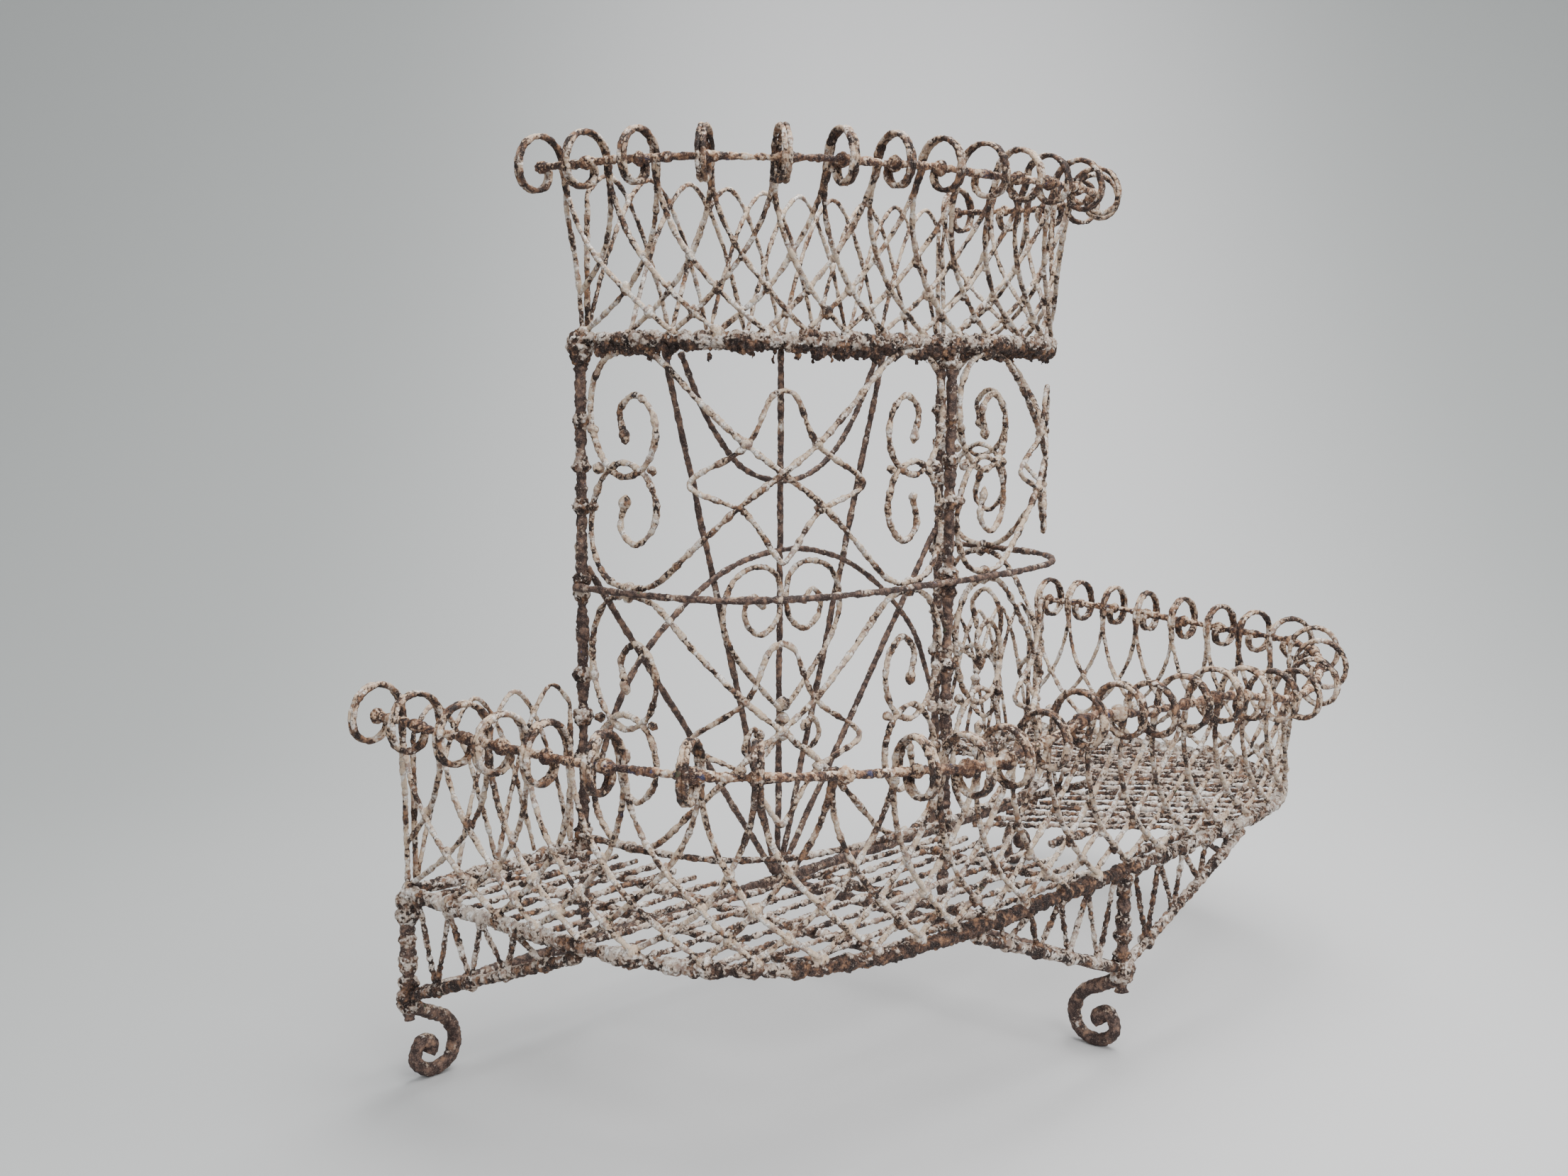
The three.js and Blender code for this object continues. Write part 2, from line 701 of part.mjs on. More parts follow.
// Plain hairpins of the wall side: round tops, steep feet, woven flat between two uprights.
function wallLattice(name, from, to, rim, height, count) {
  const pitch = (to - from) / count;
  const foot = rim + RIM_R + WIRE_R + GAP;
  const leg = (i, way) => {
    const x0 = from + (i + 0.5) * pitch;
    const limit = way < 0 ? (x0 - from) / pitch : (to - x0) / pitch;
    const reach = Math.min(1.5, limit);
    const at = (k) => {
      const t = reach * k;
      return point(x0 + way * t * pitch, 0, foot + (height - foot) * (1 - (t / 1.5) ** 1.8));
    };
    return tube(new Along(at), WIRE_R, 4, 3);
  };
  const wires = [];
  for (let i = 0; i < count; i += 1) wires.push(leg(i, -1), leg(i, 1));
  const brace = (x) => rod(point(x, 0, foot - WIRE_R), point(x, 0, height - 40), WIRE_R, 4);
  add(name, PAINT, [...wires, brace(from), brace(to)]);
}
// Clear of the bowed rails that pass outside the posts.
const besidePost = TOWER_HALF_WIDTH + POST_R + 2 * RING_R + WIRE_R + 3 * GAP;
const insideLeg = FLOOR_HALF_WIDTH - 2;
const lowerTop = FLOOR_HEIGHT + LOWER_BASKET_HEIGHT;
const upperTop = SHELF_HEIGHT + UPPER_BASKET_HEIGHT;
wallLattice("wall_lattice_left", -insideLeg + 9, -besidePost, FLOOR_HEIGHT, lowerTop, 4);
wallLattice("wall_lattice_right", besidePost, insideLeg - 9, FLOOR_HEIGHT, lowerTop, 4);
wallLattice(
  "wall_lattice_upper",
  -TOWER_HALF_WIDTH + 9,
  TOWER_HALF_WIDTH - 9,
  SHELF_HEIGHT,
  upperTop,
  10,
);

// ---- Frame: origin under the middle of the stand, on the ground -----------------------------------

const bounds = new THREE.Box3().setFromObject(stand);
const middle = bounds.getCenter(new THREE.Vector3());
stand.position.set(-middle.x, -middle.y, -bounds.min.z);

export default stand;
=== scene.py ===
"""Looks for an antique wirework plant stand: two D-shaped baskets of curled wire under flaking paint.

Every length is in metres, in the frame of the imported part: the flat side runs along X, the bow faces
-Y and the ground is z = 0.
"""

from __future__ import annotations

import logging
import math
import random
from dataclasses import dataclass, field
from enum import Enum
from typing import Callable, ClassVar, Iterable, Sequence

import bpy
import numpy as np
from mathutils import Matrix, Vector, kdtree, noise

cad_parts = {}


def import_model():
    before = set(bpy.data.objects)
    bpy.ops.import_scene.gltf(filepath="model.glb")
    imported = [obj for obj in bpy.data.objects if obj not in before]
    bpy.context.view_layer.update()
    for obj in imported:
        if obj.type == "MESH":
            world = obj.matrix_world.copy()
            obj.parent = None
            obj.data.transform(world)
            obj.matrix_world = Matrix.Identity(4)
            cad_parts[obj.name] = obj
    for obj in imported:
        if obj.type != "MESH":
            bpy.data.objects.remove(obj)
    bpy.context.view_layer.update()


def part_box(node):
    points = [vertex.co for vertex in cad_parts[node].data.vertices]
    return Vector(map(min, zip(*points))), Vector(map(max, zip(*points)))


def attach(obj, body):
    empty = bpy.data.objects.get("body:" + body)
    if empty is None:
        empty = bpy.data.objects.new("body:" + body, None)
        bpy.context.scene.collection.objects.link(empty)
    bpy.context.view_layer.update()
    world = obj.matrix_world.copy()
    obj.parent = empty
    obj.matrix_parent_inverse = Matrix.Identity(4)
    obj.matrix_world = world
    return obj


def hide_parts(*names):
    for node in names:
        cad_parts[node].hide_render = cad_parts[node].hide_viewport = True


LOG = logging.getLogger("plant_stand")
MM = 0.001
BODY = "root"
WANDER_SEED = 11

# The floors: how far apart their wires lie, and the thicker bearers just under them.
FLOOR_PITCH = 27.0 * MM
BEARER_RADIUS = 4.2 * MM
BEARER_DROP = 4.0 * MM

# How high a basket's rail stands over its rim, and the lowest wires over the rim's middle.
LOWER_WALL = 173.0 * MM
UPPER_WALL = 162.0 * MM
WALL_FOOT = 8.0 * MM

UP = Vector((0.0, 0.0, 1.0))

Point = tuple[float, float, float]
Shape = Sequence[tuple[float, float]]
Colour = tuple[float, float, float, float]


class Slot(Enum):
    """The record's material slots."""

    FLAKING_PAINT = "flaking_paint"
    CRUSTED_PAINT = "crusted_paint"
    RUSTED_RAIL = "rusted_rail"
    BARE_IRON = "bare_iron"


class Section(Enum):
    """How round a wire is: the bevel resolution of its curve."""

    WIRE = 2
    ROD = 4


def linear(red: float, green: float, blue: float) -> Colour:
    """The linear colour of an sRGB one, with full alpha."""

    def channel(value: float) -> float:
        return value / 12.92 if value <= 0.04045 else ((value + 0.055) / 1.055) ** 2.4

    return channel(red), channel(green), channel(blue), 1.0


# ---- Finishes -------------------------------------------------------------------------------


class NodeBench:
    """Short calls that add shader nodes and join them."""

    def __init__(self, material: bpy.types.Material) -> None:
        """Clears the material's node tree.

        Args:
            material: The material whose tree is built.
        """
        material.use_nodes = True
        self.tree = material.node_tree
        self.tree.nodes.clear()

    def put(self, socket: bpy.types.NodeSocket, value: object) -> None:
        """Sets an input to a value, or links it to another node's output."""
        if isinstance(value, bpy.types.NodeSocket):
            self.tree.links.new(value, socket)
        else:
            socket.default_value = value

    def math(
        self, operation: str, first: object, second: object = 0.0, clamp: bool = False
    ) -> bpy.types.NodeSocket:
        """The result of a Math node."""
        node = self.tree.nodes.new("ShaderNodeMath")
        node.operation = operation
        node.use_clamp = clamp
        self.put(node.inputs[0], first)
        self.put(node.inputs[1], second)
        return node.outputs[0]

    def noise(
        self, place: object, scale: float, detail: float, rough: float
    ) -> bpy.types.NodeSocket:
        """The value of a noise texture at a place."""
        node = self.tree.nodes.new("ShaderNodeTexNoise")
        self.put(node.inputs["Vector"], place)
        node.inputs["Scale"].default_value = scale
        node.inputs["Detail"].default_value = detail
        node.inputs["Roughness"].default_value = rough
        return node.outputs["Fac"]

    def shift(self, place: object, by: Point) -> bpy.types.NodeSocket:
        """A place moved by a fixed amount, so that two noises differ."""
        node = self.tree.nodes.new("ShaderNodeMapping")
        self.put(node.inputs["Vector"], place)
        node.inputs["Location"].default_value = by
        return node.outputs["Vector"]

    def step(self, value: object, low: float, high: float) -> bpy.types.NodeSocket:
        """0 below low, 1 above high and smooth between."""
        node = self.tree.nodes.new("ShaderNodeMapRange")
        node.interpolation_type = "SMOOTHSTEP"
        self.put(node.inputs["Value"], value)
        node.inputs["From Min"].default_value = low
        node.inputs["From Max"].default_value = high
        return node.outputs["Result"]

    def mix(self, share: object, first: object, second: object) -> bpy.types.NodeSocket:
        """A colour between two colours."""
        node = self.tree.nodes.new("ShaderNodeMix")
        node.data_type = "RGBA"
        self.put(node.inputs[0], share)
        self.put(node.inputs[6], first)
        self.put(node.inputs[7], second)
        return node.outputs[2]

    def below(self, value: object, low: float, high: float) -> bpy.types.NodeSocket:
        """1 below low, 0 above high and smooth between."""
        return self.math("SUBTRACT", 1.0, self.step(value, low, high))

    def add_share(self, total: object, part: object, share: float) -> bpy.types.NodeSocket:
        """A total with a share of a part added to it."""
        return self.math("ADD", total, self.math("MULTIPLY", part, share))

    def attribute(self, name: str) -> bpy.types.NodeSocket:
        """A number stored on the mesh."""
        node = self.tree.nodes.new("ShaderNodeAttribute")
        node.attribute_name = name
        return node.outputs["Fac"]


class Patterns:
    """The noises, and the numbers stored on the mesh, that a finish is painted by."""

    def __init__(self, bench: NodeBench) -> None:
        """Adds the nodes.

        Args:
            bench: The material's nodes.
        """
        place = bench.tree.nodes.new("ShaderNodeTexCoord").outputs["Object"]
        self.crust = bench.attribute("crust")
        self.along = bench.attribute("along")
        self.worn = bench.attribute("worn")
        self.grain = bench.noise(bench.shift(place, (2.2, 6.1, 1.3)), 950.0, 2.0, 0.6)
        self.fine = bench.noise(place, 420.0, 4.0, 0.62)
        self.broad = bench.noise(bench.shift(place, (3.1, 1.7, 0.4)), 48.0, 5.0, 0.6)
        self.tone = bench.noise(bench.shift(place, (7.3, 2.9, 5.1)), 120.0, 4.0, 0.6)
        self.rust_tone = bench.noise(bench.shift(place, (1.9, 8.2, 3.3)), 130.0, 4.0, 0.65)
        self.traces = bench.noise(bench.shift(place, (5.7, 4.4, 9.1)), 55.0, 4.0, 0.6)
        facing = bench.tree.nodes.new("ShaderNodeSeparateXYZ")
        bench.put(facing.inputs[0], bench.tree.nodes.new("ShaderNodeNewGeometry").outputs["Normal"])
        self.facing_up = facing.outputs[2]


OLD_BLUE = linear(0.24, 0.25, 0.37)
MOSS = linear(0.30, 0.32, 0.24)


@dataclass(frozen=True)
class WeatheredPaint:
    """Layers of old paint over rusted iron.

    Attributes:
        slot: The record's slot that has this finish.
        cover: Share of the surface that still has paint, roughly.
        cream: Warm colour of the paint.
        white: Palest colour of the paint.
        dirt: Grey-pink of the paint where it is dirty.
        dark: Darkest rust, and the colour that the painted shade on the undersides darkens towards.
        brown: Middle rust.
        orange: Brightest rust.
        stain: How far rust stains the paint, from 0 to 1.
        cracks: How strongly the paint is cracked across the wire, from 0 to 1.
        blue: Share of the rust that keeps traces of a blue coat.
        wear: How much more paint has gone where a wire is worn.
    """

    slot: Slot
    cover: float
    cream: Colour = linear(0.87, 0.79, 0.70)
    white: Colour = linear(0.99, 0.98, 0.96)
    dirt: Colour = linear(0.61, 0.54, 0.51)
    dark: Colour = linear(0.13, 0.09, 0.08)
    brown: Colour = linear(0.37, 0.27, 0.22)
    orange: Colour = linear(0.66, 0.50, 0.37)
    stain: float = 0.5
    cracks: float = 0.8
    blue: float = 0.3
    wear: float = 0.10

    def material(self) -> bpy.types.Material:
        """The finish as a material, built once.

        Returns:
            The material named after the slot.
        """
        found = bpy.data.materials.get(self.slot.value)
        if found is not None and found.get("weathered"):
            return found
        material = bpy.data.materials.new(self.slot.value)
        material["weathered"] = True
        bench = NodeBench(material)
        seen = Patterns(bench)
        film = self._film(bench, seen)
        painted = self._painted(bench, seen, film)
        colour = bench.mix(painted, self._rust(bench, seen), self._paint(bench, seen, film))
        # Painted shade: the undersides are darkened towards the darkest rust.
        under = bench.math("MULTIPLY", bench.below(seen.facing_up, -0.85, 0.25), 0.42)
        self._shade(bench, seen, painted, bench.mix(under, colour, self.dark))
        return material

    @property
    def edge(self) -> float:
        """How thick the film of paint is where it ends."""
        return 0.74 - 0.30 * self.cover

    def _film(self, bench: NodeBench, seen: Patterns) -> bpy.types.NodeSocket:
        """How thick the film is: more in lumps and on top, less where the wire is worn."""
        film = bench.add_share(bench.math("MULTIPLY", seen.crust, 0.14), seen.fine, 0.34)
        film = bench.add_share(film, seen.broad, 0.72)
        film = bench.math("SUBTRACT", film, bench.math("MULTIPLY", seen.worn, self.wear))
        return bench.add_share(film, seen.facing_up, 0.035)

    def _painted(self, bench: NodeBench, seen: Patterns, film: object) -> bpy.types.NodeSocket:
        """1 where there is paint and 0 where it has flaked off or cracked through.

        Args:
            bench: The material's nodes.
            seen: The patterns to paint by.
            film: How thick the film is.

        Returns:
            The mask.
        """
        painted = bench.step(film, self.edge - 0.03, self.edge + 0.03)
        # Cracks run round the wire, a few millimetres apart.
        crack = bench.tree.nodes.new("ShaderNodeTexVoronoi")
        crack.voronoi_dimensions = "1D"
        crack.feature = "DISTANCE_TO_EDGE"
        run = bench.math("MULTIPLY", seen.along, 230.0)
        bench.put(crack.inputs["W"], bench.add_share(run, seen.fine, 1.5))
        crack.inputs["Scale"].default_value = 1.0
        open_crack = bench.below(crack.outputs["Distance"], 0.02, 0.08)
        held = bench.step(seen.tone, 0.40, 0.56)
        open_crack = bench.math("MULTIPLY", bench.math("MULTIPLY", open_crack, held), self.cracks)
        return bench.math("MULTIPLY", painted, bench.math("SUBTRACT", 1.0, open_crack))

    def _paint(self, bench: NodeBench, seen: Patterns, film: object) -> bpy.types.NodeSocket:
        """The paint's colour: cream, white and dirty patches, stained near its edges.

        Args:
            bench: The material's nodes.
            seen: The patterns to paint by.
            film: How thick the film is.

        Returns:
            The colour.
        """
        paint = bench.mix(bench.step(seen.tone, 0.46, 0.62), self.cream, self.white)
        paint = bench.mix(bench.step(seen.rust_tone, 0.50, 0.64), paint, self.dirt)
        stained = bench.math("MULTIPLY", bench.below(film, self.edge, self.edge + 0.12), self.stain)
        stained = bench.math("ADD", stained, bench.math("MULTIPLY", seen.worn, 0.12), clamp=True)
        paint = bench.mix(stained, paint, self.orange)
        pit = bench.below(seen.grain, 0.34, 0.44)
        return bench.mix(bench.math("MULTIPLY", pit, 0.35), paint, self.brown)

    def _rust(self, bench: NodeBench, seen: Patterns) -> bpy.types.NodeSocket:
        """The rust's colour, with traces of a blue coat, a little moss and specks of old paint.

        Args:
            bench: The material's nodes.
            seen: The patterns to paint by.

        Returns:
            The colour.
        """
        rust = bench.mix(bench.step(seen.rust_tone, 0.42, 0.60), self.dark, self.brown)
        rust = bench.mix(bench.step(seen.rust_tone, 0.54, 0.70), rust, self.orange)
        blue_edge = 0.74 - 0.12 * self.blue
        rust = bench.mix(bench.step(seen.traces, blue_edge, blue_edge + 0.05), rust, OLD_BLUE)
        moss_edge = 0.25 + 0.05 * self.blue
        rust = bench.mix(bench.below(seen.traces, moss_edge, moss_edge + 0.04), rust, MOSS)
        speck = bench.step(seen.grain, 0.56, 0.66)
        return bench.mix(bench.math("MULTIPLY", speck, 0.45), rust, self.dirt)

    @staticmethod
    def _shade(bench: NodeBench, seen: Patterns, painted: object, colour: object) -> None:
        """Joins the colour, the sheen and the small relief in the shader.

        Args:
            bench: The material's nodes.
            seen: The patterns to paint by.
            painted: The mask of the paint.
            colour: The colour of paint and rust together, with the painted shade on the undersides.
        """
        shader = bench.tree.nodes.new("ShaderNodeBsdfPrincipled")
        bench.put(shader.inputs["Base Color"], colour)
        rough = bench.add_share(bench.math("MULTIPLY", painted, 0.14), seen.fine, 0.2)
        bench.put(shader.inputs["Roughness"], bench.math("ADD", rough, 0.58))
        shader.inputs["Specular IOR Level"].default_value = 0.35
        bump = bench.tree.nodes.new("ShaderNodeBump")
        bump.inputs["Strength"].default_value = 0.7
        bump.inputs["Distance"].default_value = 0.8 * MM
        relief = bench.add_share(bench.math("MULTIPLY", painted, 0.6), seen.fine, 1.1)
        bench.put(bump.inputs["Height"], bench.add_share(relief, seen.grain, 0.5))
        bench.put(shader.inputs["Normal"], bump.outputs["Normal"])
        out = bench.tree.nodes.new("ShaderNodeOutputMaterial")
        bench.put(out.inputs["Surface"], shader.outputs[0])


CURL_PAINT = WeatheredPaint(Slot.FLAKING_PAINT, cover=0.62, wear=0.07)
THICK_CRUST = WeatheredPaint(
    Slot.CRUSTED_PAINT,
    cover=0.72,
    cream=linear(0.81, 0.76, 0.71),
    white=linear(0.98, 0.97, 0.95),
    dirt=linear(0.57, 0.50, 0.47),
    stain=0.35,
    cracks=0.5,
    wear=0.26,
)
RAIL_RUST = WeatheredPaint(
    Slot.RUSTED_RAIL,
    cover=0.42,
    dark=linear(0.18, 0.13, 0.13),
    brown=linear(0.45, 0.32, 0.25),
    orange=linear(0.74, 0.58, 0.45),
    dirt=linear(0.74, 0.64, 0.57),
    stain=0.8,
    cracks=0.3,
    blue=0.9,
)
BARE_IRON = WeatheredPaint(
    Slot.BARE_IRON,
    cover=0.24,
    dark=linear(0.21, 0.16, 0.15),
    brown=linear(0.43, 0.34, 0.30),
    orange=linear(0.60, 0.47, 0.38),
    dirt=linear(0.62, 0.55, 0.51),
    stain=0.5,
    cracks=0.2,
    blue=0.5,
)


# ---- Curves ---------------------------------------------------------------------------------


def smooth_path(points: Sequence[Vector], step: float) -> list[Vector]:
    """A smooth curve through points, cut into even steps.

    Args:
        points: Points that the curve passes through, in order.
        step: Distance between the returned points, roughly.

    Returns:
        The evenly spaced points, both ends included.
    """
    knots = [np.array(p, float) for p in points]
    if len(knots) > 2:
        knots = [2 * knots[0] - knots[1], *knots, 2 * knots[-1] - knots[-2]]
        dense: list[np.ndarray] = []
        for a, b, c, d in zip(knots, knots[1:], knots[2:], knots[3:]):
            t1 = max(np.linalg.norm(b - a), 1e-9) ** 0.5
            t2 = t1 + max(np.linalg.norm(c - b), 1e-9) ** 0.5
            t3 = t2 + max(np.linalg.norm(d - c), 1e-9) ** 0.5
            t = np.linspace(t1, t2, 14, endpoint=False)[:, None]
            a1 = (t1 - t) / t1 * a + t / t1 * b
            a2 = (t2 - t) / (t2 - t1) * b + (t - t1) / (t2 - t1) * c
            a3 = (t3 - t) / (t3 - t2) * c + (t - t2) / (t3 - t2) * d
            b1 = (t2 - t) / t2 * a1 + t / t2 * a2
            b2 = (t3 - t) / (t3 - t1) * a2 + (t - t1) / (t3 - t1) * a3
            dense.extend((t2 - t) / (t2 - t1) * b1 + (t - t1) / (t2 - t1) * b2)
        dense.append(knots[-2])
        knots = dense
    line = np.array(knots)
    run = np.concatenate([[0.0], np.cumsum(np.linalg.norm(np.diff(line, axis=0), axis=1))])
    count = max(2, round(run[-1] / step) + 1)
    at = np.linspace(0.0, run[-1], count)
    return [Vector(p) for p in np.stack([np.interp(at, run, line[:, k]) for k in range(3)], axis=1)]


@dataclass
class DPlan:
    """Half of a superellipse, from the left wall end round the front to the right wall end."""

    half_width: float
    depth: float
    squareness: float
    height: float
    wall: float

    def __post_init__(self) -> None:
        """Measures the curve, so that it can be read by its length."""
        angle = np.linspace(0.0, math.pi, 2401)
        c, s = np.cos(angle), np.sin(angle)
        n = self.squareness
        reach = (np.abs(c / self.half_width) ** n + np.abs(s / self.depth) ** n) ** (-1 / n)
        self._line = np.stack([-reach * c, -reach * s], axis=1)
        steps = np.linalg.norm(np.diff(self._line, axis=0), axis=1)
        self._run = np.concatenate([[0.0], np.cumsum(steps)])
        self.length = float(self._run[-1])

    def at(self, share: float) -> Vector:
        """The point at a share of the curve's length."""
        run = min(max(share, 0.0), 1.0) * self.length
        x = float(np.interp(run, self._run, self._line[:, 0]))
        y = float(np.interp(run, self._run, self._line[:, 1]))
        return Vector((x, y + self.wall, self.height))

    def along(self, share: float, near: float = 0.002) -> Vector:
        """A short step along the curve at a share of its length."""
        return self.at(min(share + near, 1.0)) - self.at(max(share - near, 0.0))

    def outward(self, share: float) -> Vector:
        """The level direction that points out of the D at a share of its length."""
        along = self.along(share)
        return Vector((along.y, -along.x, 0.0)).normalized()

    def place(self, share: float, out: float, up: float) -> Vector:
        """A point of the curve moved outwards and up."""
        return self.at(share) + self.outward(share) * out + Vector((0.0, 0.0, up))

    def depth_at(self, x: float) -> float:
        """How deep the D is at x."""
        n = self.squareness
        return self.depth * max(0.0, 1 - abs(x / self.half_width) ** n) ** (1 / n)

    def width_at(self, y: float) -> float:
        """Half the width that the D has at a distance from the wall line."""
        n = self.squareness
        return self.half_width * max(0.0, 1 - abs(y / self.depth) ** n) ** (1 / n)


# ---- Wire work --------------------------------------------------------------------------------


@dataclass
class Wire:
    """One length of round wire under its coats of paint."""

    path: list[Vector]
    radius: float
    section: Section = Section.WIRE
    profile: Callable[[float], float] | None = None
    lumpy: float = 0.18
    worn: Callable[[float], float] | None = None


@dataclass
class WireWork:
    """Collects the wires and lumps of one piece and makes them one mesh.

    Attributes:
        name: The piece's name.
        finish: What it is painted with.
        crust: How far the paint stands up in lumps.
        step: Distance between the rings of a wire.
        sway: How far a wire wanders from its drawn line.
        melt: Size of the cells that melt its wires and lumps into one mass, or 0 to leave them.
        middle: Where the stand's middle is in the frame; every wire is drawn from there.
    """

    name: str
    finish: WeatheredPaint
    crust: float = 0.65 * MM
    step: float = 2.0 * MM
    sway: float = 0.7 * MM
    melt: float = 0.0
    middle: ClassVar[Vector] = Vector((0.0, 0.0, 0.0))
    wires: list[Wire] = field(default_factory=list)

    def wire(
        self,
        points: Sequence[Vector],
        radius: float,
        section: Section = Section.WIRE,
        profile: Callable[[float], float] | None = None,
        lumpy: float = 0.18,
        worn: Callable[[float], float] | None = None,
    ) -> None:
        """Adds a wire.

        Args:
            points: Points that it passes through.
            radius: Half its thickness with its usual paint.
            section: How round it is.
            profile: Thickness as a share of the radius, by share of the length.
            lumpy: How much its thickness wavers, as a share of the radius.
            worn: How worn its paint is from 0 to 1, by share of the length; 0.4 if left out.
        """
        path = smooth_path(points, self.step)
        bent = [p + noise.noise_vector(p * 21.0) * self.sway + self.middle for p in path]
        self.wires.append(Wire(bent, radius, section, profile, lumpy, worn))

    def lump(
        self, centre: Vector, along: Vector, length: float, radius: float, worn: float = 0.4
    ) -> None:
        """Adds a blob of paint or binding wire.

        Args:
            centre: Its middle.
            along: The direction of its long axis.
            length: Its length.
            radius: Half its thickness.
            worn: How worn its paint is, from 0 to 1.
        """
        half = along.normalized() * (length / 2)
        here = centre + self.middle
        path = smooth_path([here - half, here, here + half], length / 6)

        def blob(share: float) -> float:
            return math.sqrt(max(0.04, 1 - (2 * share - 1) ** 2))

        self.wires.append(Wire(path, radius, Section.WIRE, blob, 0.3, lambda _: worn))

    def make(self, *nodes: str) -> bpy.types.Object:
        """Makes the mesh, gives it its crust and finish, and puts it in the place of CAD nodes.

        Args:
            nodes: The CAD nodes that it stands for.

        Returns:
            The finished piece.
        """
        bpy.ops.object.select_all(action="DESELECT")
        bpy.ops.curve.primitive_nurbs_path_add(location=(0.0, 0.0, 0.0))
        drawing = bpy.context.object
        drawing.name = self.name
        curve = drawing.data
        curve.splines.clear()
        curve.bevel_depth = 1.0
        curve.use_fill_caps = True
        curve.resolution_u = 1
        sections = {wire.section for wire in self.wires}
        curve.bevel_resolution = max(section.value for section in sections)
        rings = kdtree.KDTree(sum(len(wire.path) for wire in self.wires))
        runs: list[float] = []
        wear: list[float] = []
        for number, wire in enumerate(self.wires):
            self._draw(curve, wire)
            run = 1.37 * number
            for here, before in zip(wire.path, [wire.path[0], *wire.path]):
                run += (here - before).length
                rings.insert(here, len(runs))
                runs.append(run)
            last = len(wire.path) - 1
            wear.extend(wire.worn(i / last) if wire.worn else 0.4 for i in range(last + 1))
        rings.balance()
        bpy.ops.object.convert(target="MESH")
        piece = bpy.context.object
        bpy.ops.object.mode_set(mode="EDIT")
        bpy.ops.mesh.select_all(action="SELECT")
        bpy.ops.mesh.remove_doubles(threshold=0.02 * MM)
        bpy.ops.mesh.normals_make_consistent(inside=False)
        bpy.ops.object.mode_set(mode="OBJECT")
        if self.melt:
            bpy.ops.object.modifier_add(type="REMESH")
            modifier = piece.modifiers[-1]
            modifier.mode = "VOXEL"
            modifier.voxel_size = self.melt
            bpy.ops.object.modifier_apply(modifier=modifier.name)
        self._crust(piece, rings, runs, wear)
        bpy.ops.object.shade_smooth()
        piece.data.materials.clear()
        piece.data.materials.append(self.finish.material())
        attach(piece, BODY)
        if nodes:
            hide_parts(*nodes)
        LOG.info("%s: %d wires, %d faces", self.name, len(self.wires), len(piece.data.polygons))
        return piece

    def _draw(self, curve: bpy.types.Curve, wire: Wire) -> None:
        """Draws one wire as a spline whose radius carries its lumps."""
        spline = curve.splines.new("POLY")
        count = len(wire.path)
        spline.points.add(count - 1)
        place = np.ones((count, 4), np.float32)
        place[:, :3] = [tuple(p) for p in wire.path]
        spline.points.foreach_set("co", place.ravel())
        radius = np.full(count, wire.radius, np.float32)
        for i, p in enumerate(wire.path):
            waver = 1 + wire.lumpy * 1.6 * noise.noise(p * 95.0) + wire.lumpy * noise.noise(p * 240.0)
            shape = wire.profile(i / (count - 1)) if wire.profile else 1.0
            radius[i] *= waver * shape
        spline.points.foreach_set("radius", radius)
        spline.use_smooth = True

    def _crust(
        self, piece: bpy.types.Object, rings: kdtree.KDTree, runs: list[float], wear: list[float]
    ) -> None:
        """Raises flakes and lumps of paint, and stores how thick they are.

        Args:
            piece: The bare mesh.
            rings: The middles of the wires' rings.
            runs: How far along its wire each ring is.
            wear: How worn the paint is at each ring.
        """
        mesh = piece.data
        count = len(mesh.vertices)
        before = np.empty(count * 3, np.float32)
        mesh.vertices.foreach_get("co", before)
        before = before.reshape(-1, 3)
        normals = np.empty(count * 3, np.float32)
        mesh.vertices.foreach_get("normal", normals)
        for coat, strength in ((flake_coat(), 0.9 * self.crust), (lump_coat(), 1.1 * self.crust)):
            bpy.ops.object.modifier_add(type="DISPLACE")
            modifier = piece.modifiers[-1]
            modifier.texture = coat
            modifier.texture_coords = "LOCAL"
            modifier.strength = strength
            modifier.mid_level = 0.45
            bpy.ops.object.modifier_apply(modifier=modifier.name)
        after = np.empty(count * 3, np.float32)
        mesh.vertices.foreach_get("co", after)
        moved = ((after.reshape(-1, 3) - before) * normals.reshape(-1, 3)).sum(axis=1)
        thick = np.clip(moved / (1.6 * self.crust) + 0.5, 0.0, 1.0)
        nearest = [rings.find(Vector(p))[1] for p in before]
        along, worn = (np.array(values, np.float32)[nearest] for values in (runs, wear))
        for name, values in (("crust", thick.astype(np.float32)), ("along", along), ("worn", worn)):
            mesh.attributes.new(name, "FLOAT", "POINT").data.foreach_set("value", values)


def flake_coat() -> bpy.types.Texture:
    """Islands of paint film with steep edges, a few millimetres wide."""
    found = bpy.data.textures.get("flake_coat")
    if found is not None:
        return found
    coat = bpy.data.textures.new("flake_coat", "CLOUDS")
    coat.noise_scale = 4.2 * MM
    coat.noise_depth = 2
    coat.use_color_ramp = True
    ramp = coat.color_ramp
    ramp.interpolation = "EASE"
    ramp.elements[0].position = 0.42
    ramp.elements[0].color = (0.0, 0.0, 0.0, 1.0)
    ramp.elements[1].position = 0.56
    ramp.elements[1].color = (1.0, 1.0, 1.0, 1.0)
    return coat


def lump_coat() -> bpy.types.Texture:
    """Rounded lumps and pits of old paint."""
    found = bpy.data.textures.get("lump_coat")
    if found is not None:
        return found
    coat = bpy.data.textures.new("lump_coat", "CLOUDS")
    coat.noise_scale = 2.6 * MM
    coat.noise_depth = 1
    coat.noise_basis = "ORIGINAL_PERLIN"
    return coat


# ---- The stand --------------------------------------------------------------------------------


